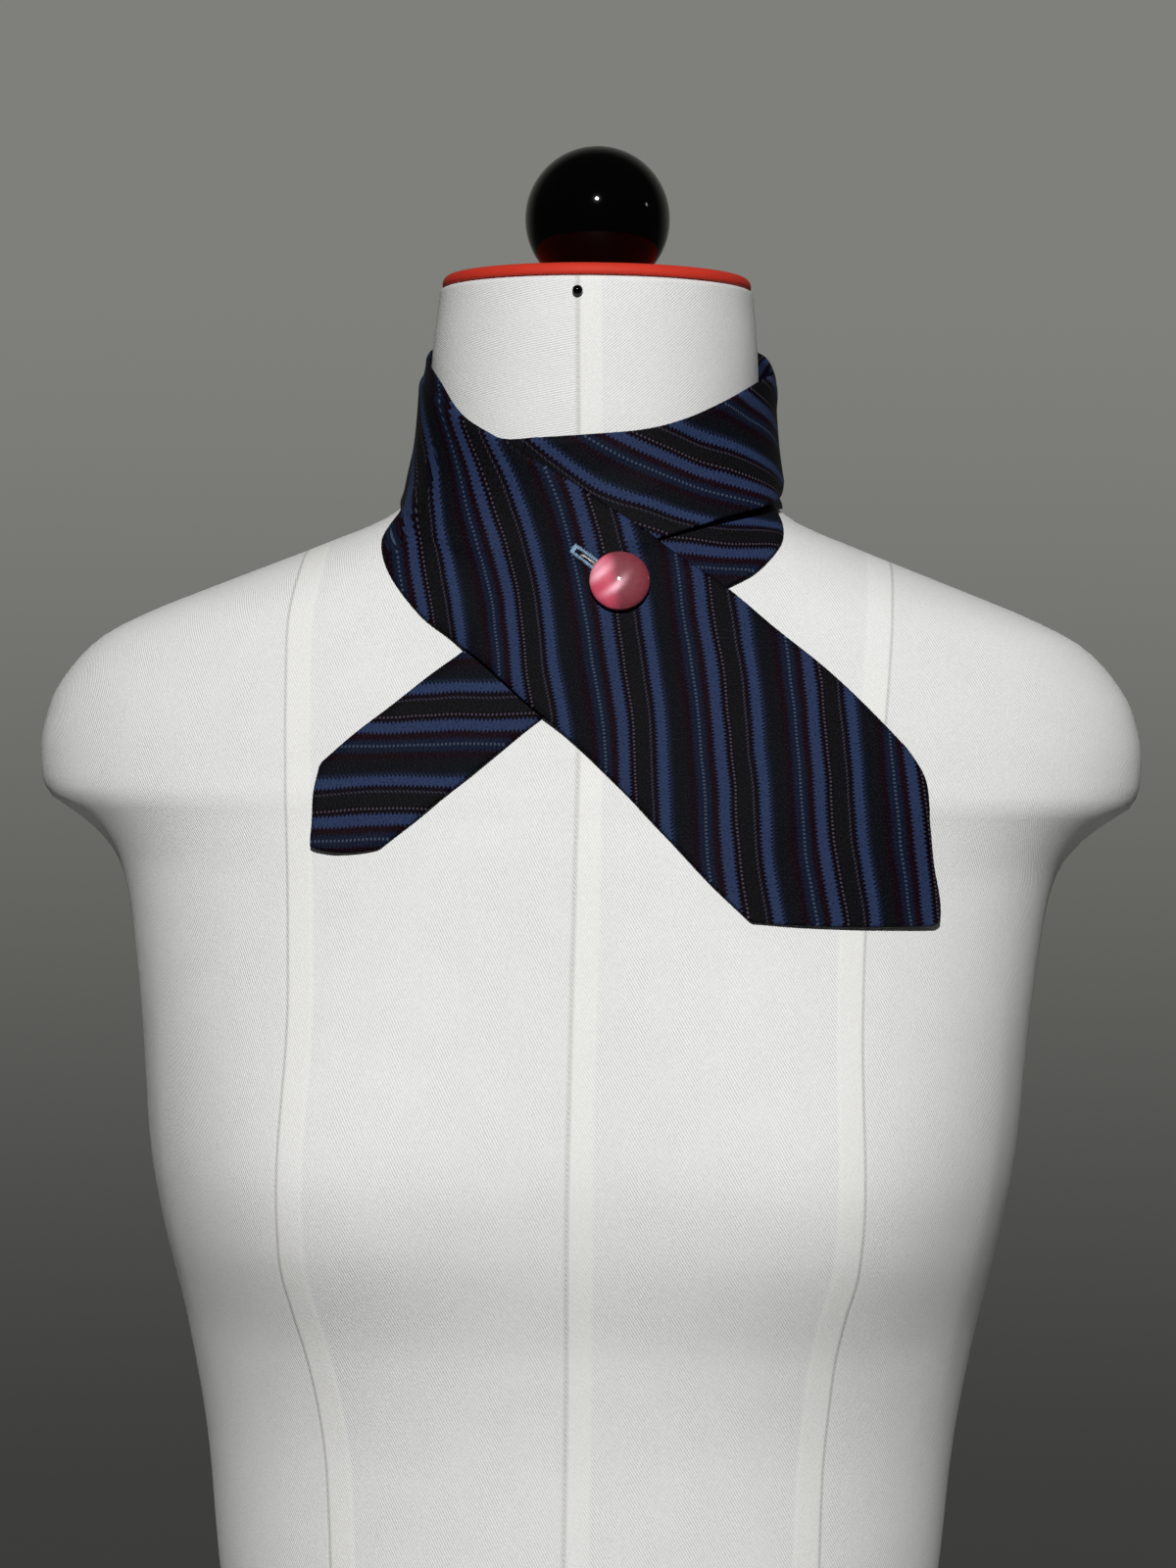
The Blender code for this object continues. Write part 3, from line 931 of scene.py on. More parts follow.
@dataclass
class DressForm:
    """The padded form with its neck, cap and ball."""

    sections: tuple[FormSection, ...] = (
        FormSection(0, 164, 98, 112, 2.2),
        FormSection(3, 168, 102, 116, 2.2),
        FormSection(16, 171, 106, 120, 2.2),
        FormSection(70, 168, 108, 118, 2.2),
        FormSection(115, 157, 106, 110, 2.2),
        FormSection(165, 137, 101, 95, 2.2),
        FormSection(215, 127, 98, 86, 2.2),
        FormSection(250, 133, 98.5, 87, 2.2),
        FormSection(298, 138, 98, 92, 2.2),
        FormSection(338, 145, 101.5, 96, 2.2),
        FormSection(382, 155, 112, 101, 2.3),
        FormSection(403, 159, 114, 103, 2.3),
        FormSection(452, 164, 108, 106, 2.25),
        FormSection(476, 167, 103, 107, 2.2),
        FormSection(498, 170.5, 98, 108, 2.15),
        FormSection(511, 175, 95, 107, 2.1),
        FormSection(520, 182, 92, 106, 2.1),
        FormSection(528, 192, 89, 105, 2.1),
        FormSection(533, 200, 88, 104, 2.1),
        FormSection(541, 204, 85, 103, 2.1),
        FormSection(552, 204.6, 82, 101, 2.1),
        FormSection(569, 201, 77, 96, 2.1),
        FormSection(581, 194, 73, 92, 2.1),
        FormSection(593, 182, 70, 87, 2.1),
        FormSection(602, 165, 68, 83, 2.1),
        FormSection(611, 143, 66, 79, 2.05),
        FormSection(620, 120, 64, 75, 2.0),
        FormSection(629, 97, 62, 70, 2.0),
        FormSection(638, 76, 61, 66, 2.0),
        FormSection(648, 65, 60, 63, 2.0),
        FormSection(670, 62, 60, 61, 2.0),
        FormSection(700, 60.5, 59.5, 59.5, 2.0),
        FormSection(721, 58.4, 58, 58, 2.0),
    )
    bust_x: float = 103.0
    bust_z: float = 398.0
    bust_wide: float = 46.0
    bust_tall: float = 43.0
    bust_out: float = 21.0
    bust_round: float = 2.5
    neck_top: float = 723.6
    neck_edge: float = 2.0
    neck_from: float = 640.0
    neck_aside: float = 1.0
    tilt: float = math.radians(2.2)
    around: int = 192
    row_mm: float = 4.0
    cap_radius: float = 57.4
    cap_thick: float = 4.4
    cap_edge: float = 3.0
    cap_lip: float = 0.6
    cap_middle: float = 0.5
    cap_level: float = 30.0
    ball_radius: float = 27.0
    ball_centre: float = 750.4
    ball_lift: float = 0.1
    air: float = 0.35
    pin_radius: float = 1.9
    pin_stands: float = 0.6
    pin_x: float = -3.3
    pin_z: float = 715.6
    cap_around: int = 128
    ball_around: int = 96
    ball_rows: int = 44
    pin_around: int = 32
    pin_rows: int = 20
    seam_reach: float = 60.0
    side_seam_y: float = 6.0
    side_seam_top: float = 560.0
    side_seam_from: float = 60.0
    back_princess_share: float = 0.62
    back_princess_shift: float = 6.0
    princess_seams: tuple[tuple[float, float, float], ...] = (
        (250, 83, 87.5),
        (300, 85.5, 88.5),
        (320, 88, 90),
        (340, 92, 92),
        (356, 96, 95),
        (375, 99.5, 99.5),
        (400, 100, 101),
        (450, 99, 100),
        (490, 101, 101),
        (525, 103, 104),
        (566, 105, 108),
        (594, 106, 110),
        (618, 104, 111),
    )
    centre_seam: tuple[tuple[float, float], ...] = (
        (250, -1),
        (380, -0.5),
        (545, 0),
        (610, -1),
        (672, -2.5),
        (723, -3.5),
    )

    def surface(self, heights: np.ndarray, turns: np.ndarray, inset: np.ndarray) -> np.ndarray:
        """Points on the form.

        Args:
            heights: Height of each ring in millimetres.
            turns: Angles round it, from +X towards +Y.
            inset: How far each ring is drawn in, in millimetres.

        Returns:
            Points in millimetres, indexed by ring and by turn.
        """
        knots = [section.z for section in self.sections]
        table = [[s.half, s.front, s.back, s.square] for s in self.sections]
        half, front, back, square = smooth_values(knots, np.array(table), heights).T[..., None]
        c, s = np.cos(turns)[None], np.sin(turns)[None]
        inset = inset[:, None]
        x = (half - inset) * np.sign(c) * np.abs(c) ** (2 / square)
        depth = np.where(s > 0, back, front) - inset
        y = depth * np.sign(s) * np.abs(s) ** (2 / square)
        z = np.broadcast_to(heights[:, None], x.shape)
        level = np.exp(-(((z - self.bust_z) / self.bust_tall) ** 2) / 2)
        sides = sum(
            np.exp(-(((x - k * self.bust_x) / self.bust_wide) ** 2) / 2) for k in (-1, 1)
        )
        y = y - self.bust_out * level * sides * np.clip(-self.bust_round * s, 0, 1)
        up_neck = np.maximum(0, z - self.neck_from) / (self.neck_top - self.neck_from)
        return np.stack(
            [x + self.neck_aside * up_neck, y, z + up_neck * math.tan(self.tilt) * y], axis=-1
        )

    def rings(self) -> np.ndarray:
        """Lays the rings of the form from its underside to the rounded top of its neck.

        Returns:
            Points in millimetres, indexed by ring and by place round it.
        """
        top = self.neck_top - self.neck_edge
        heights = list(np.linspace(0, top, round(top / self.row_mm) + 1))
        insets = [0.0] * len(heights)
        for bend in np.linspace(0, math.pi / 2, 7)[1:]:
            heights.append(top + self.neck_edge * math.sin(bend))
            insets.append(self.neck_edge * (1 - math.cos(bend)))
        turns = np.linspace(0, 2 * math.pi, self.around, endpoint=False)
        return self.surface(np.array(heights), turns, np.array(insets))

    def seam_distances(self, points: np.ndarray) -> dict[Seam, np.ndarray]:
        """How far each point is from the seams, in millimetres, with a sign for the side.

        Args:
            points: Points in millimetres, one in a row.

        Returns:
            Distances by seam.
        """
        x, y, z = points.T
        front = y < 0
        knots = [row[0] for row in self.princess_seams]
        seams = smooth_values(knots, np.array([row[1:] for row in self.princess_seams]), z)
        middles = smooth_values(
            [row[0] for row in self.centre_seam], np.array([row[1:] for row in self.centre_seam]), z
        )
        centre = np.where(front, x - middles[:, 0], x)
        seam = np.where(x < 0, seams[:, 0], seams[:, 1])
        back = self.back_princess_share * seam + self.back_princess_shift
        princess = np.where(front, seam, back) - np.abs(x)
        away = y - self.side_seam_y
        bare = (z > self.side_seam_top) | (np.abs(x) < self.side_seam_from)
        far = np.where(away > 0, self.seam_reach, -self.seam_reach)
        return {
            Seam.CENTRE: centre,
            Seam.PRINCESS: princess,
            Seam.SIDE: np.where(bare, far, away),
        }

    def build_torso(self, cover: bpy.types.Material) -> bpy.types.Object:
        """Makes the torso and neck in one smooth skin.

        Args:
            cover: The finish of the cover.

        Returns:
            The torso.
        """
        rings = self.rings()
        parts = MeshParts()
        parts.add_rings(rings * MM, caps=True)
        flat = rings.reshape(-1, 3)
        parts.flat = list(np.stack([self.girth(rings).ravel(), flat[:, 2]], axis=-1) * MM)
        torso = parts.build("torso_cover", cover)
        self.join_back(torso)
        for seam, values in self.seam_distances(flat).items():
            layer = torso.data.attributes.new(seam.value, "FLOAT", "POINT")
            near = np.clip(values, -self.seam_reach, self.seam_reach)
            layer.data.foreach_set("value", near.astype(np.float32))
        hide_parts("form_torso")
        return torso

    def girth(self, rings: np.ndarray) -> np.ndarray:
        """Measures how far round each point lies from the middle of the front.

        Args:
            rings: Points in millimetres, indexed by ring and by place round it.

        Returns:
            Distances in millimetres, minus to the left.
        """
        closed = np.concatenate([rings, rings[:, :1]], axis=1)
        steps = np.linalg.norm(np.diff(closed, axis=1), axis=2)
        run = np.cumsum(steps, axis=1) - steps
        front = run[:, [3 * self.around // 4]]
        whole = steps.sum(axis=1, keepdims=True)
        return (run - front + whole / 2) % whole - whole / 2

    def join_back(self, torso: bpy.types.Object) -> None:
        """Keeps the flat coordinates unbroken in the faces that close the back.

        Args:
            torso: The torso, whose flat coordinates jump there.
        """
        layer = torso.data.uv_layers[0].data
        for face in torso.data.polygons:
            corners = list(face.loop_indices)
            across = [layer[k].uv[0] for k in corners]
            if len(corners) != 4 or max(across) - min(across) < 0.1:
                continue
            for k, value in zip(corners, across):
                if value < 0:
                    layer[k].uv[0] = max(across) - value

    def build_cap(self, satin: bpy.types.Material) -> bpy.types.Object:
        """Makes the neck cap with its rounded edge.

        Args:
            satin: The finish of the cap.

        Returns:
            The cap.
        """
        profile = [(self.cap_middle, 0.0), (self.cap_radius - self.cap_lip, 0.0)]
        profile.append((self.cap_radius, self.cap_lip))
        for bend in np.linspace(0, math.pi / 2, 9):
            inward = self.cap_edge * (1 - math.cos(bend))
            height = self.cap_thick - self.cap_edge * (1 - math.sin(bend))
            profile.append((self.cap_radius - inward, height))
        profile += [(self.cap_level, self.cap_thick), (self.cap_middle, self.cap_thick)]
        place = Matrix.Translation((self.neck_aside * MM, 0, (self.neck_top + self.air) * MM))
        place = place @ Matrix.Rotation(self.tilt, 4, "X")
        parts = MeshParts()
        parts.add_rings(turned_rings(profile, self.cap_around, place), caps=True)
        cap = parts.build("neck_cap_satin", satin)
        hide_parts("form_neck_cap")
        return cap

    def build_ball(self, black: bpy.types.Material) -> bpy.types.Object:
        """Makes the lacquered ball, which stands on the cap.

        Args:
            black: The finish of the ball.

        Returns:
            The ball.
        """
        flat = self.neck_top + self.cap_thick + 2 * self.air + self.ball_lift - self.ball_centre
        low = math.asin(flat / self.ball_radius)
        profile = [
            (self.ball_radius * math.cos(lift), self.ball_radius * math.sin(lift))
            for lift in np.linspace(low, math.radians(89.5), self.ball_rows)
        ]
        place = Matrix.Translation((self.neck_aside * MM, 0, self.ball_centre * MM))
        rings = turned_rings(profile, self.ball_around, place)
        rings[0, :, 2] += rings[0, :, 1] * math.tan(self.tilt)
        parts = MeshParts()
        parts.add_rings(rings, caps=True)
        ball = parts.build("neck_ball_lacquer", black)
        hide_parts("form_ball")
        return ball

    def build_pin(self, black: bpy.types.Material, tree: BVHTree) -> bpy.types.Object:
        """Makes the round head of a pin in the centre seam, pressed into the cover.

        Args:
            black: The finish of the pin.
            tree: Search tree of the torso.

        Returns:
            The pin's head.
        """
        start = Vector((self.pin_x * MM, -OUTSIDE, self.pin_z * MM))
        spot = tree.ray_cast(start, Vector((0, 1, 0)))[0]
        profile = [
            (self.pin_radius * math.sin(a), -self.pin_radius * math.cos(a))
            for a in np.linspace(0.02, math.pi - 0.02, self.pin_rows)
        ]
        out = self.pin_radius * self.pin_stands * MM
        place = Matrix.Translation(spot - Vector((0, out, 0)))
        parts = MeshParts()
        parts.add_rings(turned_rings(profile, self.pin_around, place), caps=True)
        pin = parts.build("seam_pin_head", black)
        return pin


# The tie


@dataclass(frozen=True)
class Section:
    """A section across the tie.

    Each edge lies at a turn round the neck, in degrees from the front towards +X, at a height,
    and so far off the form, both in millimetres.
    """

    top_turn: float
    top_z: float
    top_off: float
    low_turn: float
    low_z: float
    low_off: float


@dataclass(frozen=True)
class Crease:
    """A soft ridge in the cloth, in millimetres along and across it from the middle line."""

    along: float
    across: float
    long: float
    wide: float
    high: float
    slant: float = 0.0


@dataclass(frozen=True)
class Slip:
    """How far the weave has slipped along the tie at one section, at each edge, in millimetres."""

    row: int
    top: float
    low: float


@dataclass
class TieStretch:
    """One stretch of the folded tie, laid on the form and on what is under it.

    The weave is squared to the tie at the section named by straight. Sections before point_to or
    after point_from belong to a pointed end, where the edges no longer run along the tie.
    """

    name: str
    node: str
    sections: tuple[Section, ...]
    pattern_start: float
    straight: int
    slips: tuple[Slip, ...]
    top_corners: tuple[int, ...] = ()
    low_corners: tuple[int, ...] = ()
    point_from: int | None = None
    point_to: int | None = None
    creases: tuple[Crease, ...] = ()
    thick: float = 1.7
    air: float = 0.35
    cell: float = 1.7
    soft_cells: int = 3
    reach: float = 14.0
    edge_thin: float = 0.25
    edge_out: float = 0.42
    tip_widths: float = 4.0
    most_slant: float = 3.0
    least_facing: float = 0.35
    grid: np.ndarray = None
    flat: np.ndarray = None

    def off_form(self, form: BVHTree, turn: float, z: float, off: float) -> np.ndarray:
        """Finds a point off the form.

        Args:
            form: Search tree of the torso.
            turn: Angle round the neck in radians, from the front towards +X.
            z: Height in millimetres.
            off: How far off the form the point stands, in millimetres.

        Returns:
            The point in millimetres.
        """
        out = Vector((math.sin(turn), -math.cos(turn), 0.0))
        start = (out * (OUTSIDE / MM) + Vector((0, 0, z))) * MM
        place, normal = form.ray_cast(start, -out)[:2]
        return np.array(place / MM + out * off / max(self.least_facing, normal.dot(out)))

    def lay_out(self, form: BVHTree) -> None:
        """Makes the grid of the cloth's middle and its flat coordinates.

        Args:
            form: Search tree of the torso.
        """
        rows = []
        for s in self.sections:
            top = self.off_form(form, math.radians(s.top_turn), s.top_z, s.top_off)
            low = self.off_form(form, math.radians(s.low_turn), s.low_z, s.low_off)
            middle = (top + low) / 2
            turn = math.atan2(middle[0], -middle[1])
            bow = self.off_form(form, turn, middle[2], (s.top_off + s.low_off) / 2) - middle
            rows.append(np.concatenate([top, low, bow]))
        rows = np.array(rows)
        middles = (rows[:, 0:3] + rows[:, 3:6]) / 2
        steps = np.linalg.norm(np.diff(middles, axis=0), axis=1)
        knots = np.concatenate([[0], np.cumsum(steps)])
        count = round(knots[-1] / self.cell) + 1
        at = np.linspace(0, knots[-1], count)
        ends = (self.top_corners, self.low_corners, ())
        curves = [
            self.bent_curve(knots, rows[:, 3 * k : 3 * k + 3], at, corners)
            for k, corners in enumerate(ends)
        ]
        fine = np.concatenate(curves, axis=1)
        width = np.max(np.linalg.norm(rows[:, 0:3] - rows[:, 3:6], axis=1))
        share = np.linspace(0, 1, round(width / self.cell) + 1)[None, :, None]
        top, low, bow = (fine[:, None, k : k + 3] for k in (0, 3, 6))
        self.grid = top + (low - top) * share + bow * 4 * share * (1 - share)
        self.flat = self.flat_grid(at, knots)

    def bent_curve(
        self, knots: np.ndarray, rows: np.ndarray, at: np.ndarray, corners: tuple[int, ...]
    ) -> np.ndarray:
        """Draws a smooth curve through rows that may turn sharply at its corners.

        Args:
            knots: Distance of each row.
            rows: One point for each knot.
            at: Distances to read.
            corners: Numbers of the rows where the curve turns sharply.

        Returns:
            One point for each distance.
        """
        stops = [0, *corners, len(knots) - 1]
        result = np.zeros((len(at), rows.shape[1]))
        for first, last in zip(stops, stops[1:]):
            part = slice(first, last + 1)
            here = (at >= knots[first]) & (at <= knots[last])
            result[here] = smooth_values(knots[part], rows[part], at[here], False)
        return result

    def flat_grid(self, at: np.ndarray, knots: np.ndarray) -> np.ndarray:
        """Works out the grid's flat coordinates: along the tie and down from its middle line.

        Args:
            at: Distance of each row along the middle line.
            knots: Distance of each section along it.

        Returns:
            Pairs in millimetres. Each edge is measured along itself from the straight section, and
            at a pointed end the plane of that section's axis takes over.
        """
        grid = self.grid
        steps = np.linalg.norm(np.diff(grid, axis=1), axis=2)
        down = np.concatenate([np.zeros((len(at), 1)), np.cumsum(steps, axis=1)], axis=1)
        share = down / down[:, -1:]
        row = int(np.argmin(np.abs(at - knots[self.straight])))
        ahead, across = self.axes(row)
        skew = float((grid[row, -1] - grid[row, 0]) @ ahead)
        edges = []
        for side, lead in ((0, -skew / 2), (-1, skew / 2)):
            run = np.linalg.norm(np.diff(grid[:, side], axis=0), axis=1)
            run = np.concatenate([[0], np.cumsum(run)])
            edges.append(at[row] + lead + run - run[row])
        slip_knots = [knots[slip.row] for slip in self.slips]
        slips = np.array([[slip.top, slip.low] for slip in self.slips])
        slipped = smooth_values(slip_knots, slips, at)
        gap = edges[1] - edges[0]
        least = down[:, -1] / self.most_slant
        width = np.sqrt(np.maximum(down[:, -1] ** 2 - gap**2, least**2))
        top, low = edges[0] + slipped[:, 0], edges[1] + slipped[:, 1]
        along = top[:, None] + (low - top)[:, None] * share
        down = (share - 0.5) * width[:, None]
        point = np.zeros(len(at), bool)
        if self.point_from is not None:
            point |= at > knots[self.point_from]
        if self.point_to is not None:
            point |= at < knots[self.point_to]
        apart = grid[point] - grid[row].mean(axis=0)
        slid = slipped[:, :1] + (slipped[:, 1:] - slipped[:, :1]) * share
        along[point] = at[row] + apart @ ahead + slid[point]
        down[point] = apart @ across
        return np.stack([along, down], axis=-1)

    def axes(self, row: int) -> tuple[np.ndarray, np.ndarray]:
        """Finds the directions of the tie at a row.

        Args:
            row: Number of the row in the grid.

        Returns:
            The directions along and across the tie.
        """
        middles = self.grid.mean(axis=1)
        ahead = unit(middles[min(row + 3, len(middles) - 1)] - middles[max(row - 3, 0)])
        section = self.grid[row, -1] - self.grid[row, 0]
        across = unit(section - ahead * np.dot(section, ahead))
        return ahead, across

    def settle(self, under: list[BVHTree]) -> None:
        """Lifts the cloth clear of what is under it, softly over each edge it crosses.

        Args:
            under: Search trees of what is under it.
        """
        normals = grid_normals(self.grid)
        need = np.zeros(self.grid.shape[:2])
        for i, j in np.ndindex(*need.shape):
            out = Vector(normals[i, j])
            start = (Vector(self.grid[i, j]) + out * self.reach) * MM
            for tree in under:
                gone = tree.ray_cast(start, -out, 2 * self.reach * MM)[3]
                if gone is not None:
                    clear = self.reach - gone / MM + self.thick / 2 + self.air
                    need[i, j] = max(need[i, j], clear)
        need = spread(need, 1, Pick.MOST)
        soft = spread(spread(need, self.soft_cells, Pick.MEAN), self.soft_cells, Pick.MEAN)
        lift = np.maximum(need, soft) + self.ridges()
        self.grid = self.grid + normals * lift[..., None]

    def ridges(self) -> np.ndarray:
        """Works out how far the creases raise the cloth.

        Returns:
            Heights in millimetres, one for each point of the grid.
        """
        raised = np.zeros(self.grid.shape[:2])
        for crease in self.creases:
            along = self.flat[..., 0] - crease.along
            down = self.flat[..., 1] - crease.across
            c, s = math.cos(crease.slant), math.sin(crease.slant)
            run, off = along * c + down * s, down * c - along * s
            raised += crease.high * np.exp(-((run / crease.long) ** 2) - (off / crease.wide) ** 2)
        return raised

    def build(self, silk: bpy.types.Material) -> bpy.types.Object:
        """Makes the folded cloth: two faces and rolled edges.

        Args:
            silk: The finish of the tie.

        Returns:
            The cloth of this stretch.
        """
        normals = grid_normals(self.grid)
        rows, across = self.grid.shape[:2]
        width = np.linalg.norm(self.grid[:, -1] - self.grid[:, 0], axis=1)[:, None]
        share = np.linspace(0, 1, across)[None]
        from_edge = np.minimum(share, 1 - share) * width
        inward = np.clip(from_edge / (self.thick * 0.5), 0, 1)
        rolled = np.sqrt(inward * (1 - self.edge_thin) + self.edge_thin)
        half = (self.thick / 2 * rolled)[..., None]
        outer, inner = self.grid + normals * half, self.grid - normals * half
        sides = []
        tip = np.minimum(1.0, width / (self.tip_widths * self.thick))
        for near, far in ((0, 1), (-1, -2)):
            out = unit(self.grid[:, near] - self.grid[:, far])
            sides.append(self.grid[:, near] + out * self.edge_out * self.thick * tip)
        rings = np.concatenate(
            [sides[0][:, None], outer, sides[1][:, None], inner[:, ::-1]], axis=1
        )
        flat = np.concatenate(
            [self.flat[:, :1], self.flat, self.flat[:, -1:], self.flat[:, ::-1]], axis=1
        )
        parts = MeshParts()
        parts.add_rings(rings * MM, caps=True)
        flat = flat.reshape(-1, 2) + np.array([self.pattern_start, 0.0])
        parts.flat = list(flat * MM)
        cloth = parts.build(self.name, silk)
        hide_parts(self.node)
        return cloth

    def declare(self, cloth: bpy.types.Object, rests_on: list[str]) -> None:
        """Takes no step. A tie is folded double, so both faces are cloth.

        Args:
            cloth: The cloth of this stretch. It is not used.
            rests_on: Names of the pieces under it. It is not used.
        """


TAIL_SECTIONS = (
    Section(-48, 517, 2.4, -47, 516, 2.4),
    Section(-48.5, 524.5, 2, -44.5, 515.5, 2.2),
    Section(-49, 535.5, 1.6, -40.5, 516, 1.8),
    Section(-49.5, 545.5, 1.3, -38, 517, 1.3),
    Section(-46, 555.5, 1.3, -33, 527, 1.3),
    Section(-41, 566.5, 1.3, -27, 538, 1.3),
    Section(-35.5, 577.5, 1.3, -19.5, 550, 1.3),
    Section(-29, 587, 1.3, -12, 560.5, 1.3),
    Section(-21.5, 598, 1.3, -3, 570.5, 1.3),
    Section(-14, 606.5, 1.3, 5, 579, 1.3),
)
INNER_SECTIONS = (
    Section(-14, 606.9, 1.3, 5.2, 579.2, 1.3),
    Section(-3, 618, 1.3, 16, 589.5, 1.3),
    Section(10.5, 628.5, 1.3, 27.5, 600, 1.3),
    Section(20, 640, 1.3, 38, 610, 1.3),
    Section(29, 648, 1.3, 46, 616.5, 1.3),
    Section(38.5, 656, 1.3, 55.5, 627, 1.3),
    Section(50, 665, 1.3, 63.5, 635, 1.3),
    Section(62, 672, 1.3, 69.5, 640, 1.3),
    Section(84, 679.5, 1.3, 88, 643.5, 1.3),
    Section(110, 683, 1.3, 112, 645.5, 1.3),
    Section(145, 684.5, 1.3, 145, 646, 1.3),
    Section(180, 686, 1.3, 180, 647, 1.3),
    Section(215, 689, 1.3, 215, 649.5, 1.3),
    Section(248, 690.5, 1.3, 246, 651, 1.3),
    Section(274, 688, 1.3, 268, 650, 1.3),
    Section(294, 681.5, 1.3, 283, 646.5, 1.3),
    Section(311, 672.5, 1.3, 297, 640, 1.3),
)
OUTER_SECTIONS = (
    Section(312, 672, 1.3, 298, 639.5, 1.3),
    Section(321, 667, 1.3, 309, 632, 1.3),
    Section(331, 662.5, 1.3, 322, 625, 1.3),
    Section(344, 662.5, 1.3, 339, 622, 1.3),
    Section(361, 663.5, 1.3, 360, 620.5, 1.6),
    Section(381, 666, 1.3, 381, 627, 3.4),
    Section(395, 670.5, 1.8, 399, 634.7, 5.2),
    Section(410.5, 678, 3.2, 415.5, 641, 7.2),
    Section(431, 688, 5, 431.5, 646.6, 8.0),
    Section(452, 693.5, 5.6, 452, 655.5, 6.0),
    Section(468, 702, 5.6, 470, 658.5, 4.6),
    Section(488, 707.5, 3.6, 490, 656.5, 4.0),
    Section(512, 709.5, 1.8, 513, 653, 3.3),
    Section(542, 709.5, 1.5, 542, 653, 3),
    Section(572.3, 708.5, 1.8, 572.3, 651, 3),
)
BLADE_SECTIONS = (
    Section(213, 708.5, 1.8, 213, 651, 3),
    Section(228, 707.5, 1.5, 228, 649.5, 2.5),
    Section(244, 705.5, 1.3, 244, 648, 1.3),
    Section(260, 702.5, 1.3, 259, 647, 1.3),
    Section(274, 698.5, 1.3, 271, 645.5, 1.3),
    Section(287, 692.5, 1.3, 281, 643, 1.3),
    Section(300, 685, 1.3, 296, 637, 1.3),
    Section(314, 673.5, 1.3, 301.5, 628, 1.3),
    Section(329.5, 663.5, 1.3, 309.5, 615.5, 1.3),
    Section(344.5, 654, 2.6, 319, 600.5, 1.3),
    Section(361.5, 642.5, 3.4, 327.5, 590.5, 1.3),
    Section(375, 632, 3.4, 336.5, 581.5, 3.4),
    Section(387, 621, 3.4, 347, 569, 3.4),
    Section(397, 610, 3.4, 357.5, 557, 1.8),
    Section(405.5, 595.5, 1.6, 369, 541, 1.3),
    Section(412, 580.5, 1.3, 379, 523, 1.3),
    Section(416.5, 562.5, 1.3, 387, 505.5, 1.3),
    Section(418.5, 553, 1.3, 391, 497, 1.3),
    Section(419.5, 544.5, 1.3, 392.5, 493.5, 1.5),
    Section(419.5, 527.5, 1.6, 400, 492.5, 2),
    Section(420, 512.5, 2, 408, 492, 2.4),
    Section(420, 498.5, 2.6, 415.5, 492, 2.8),
    Section(419.5, 493.5, 3, 418.5, 492, 3),
)


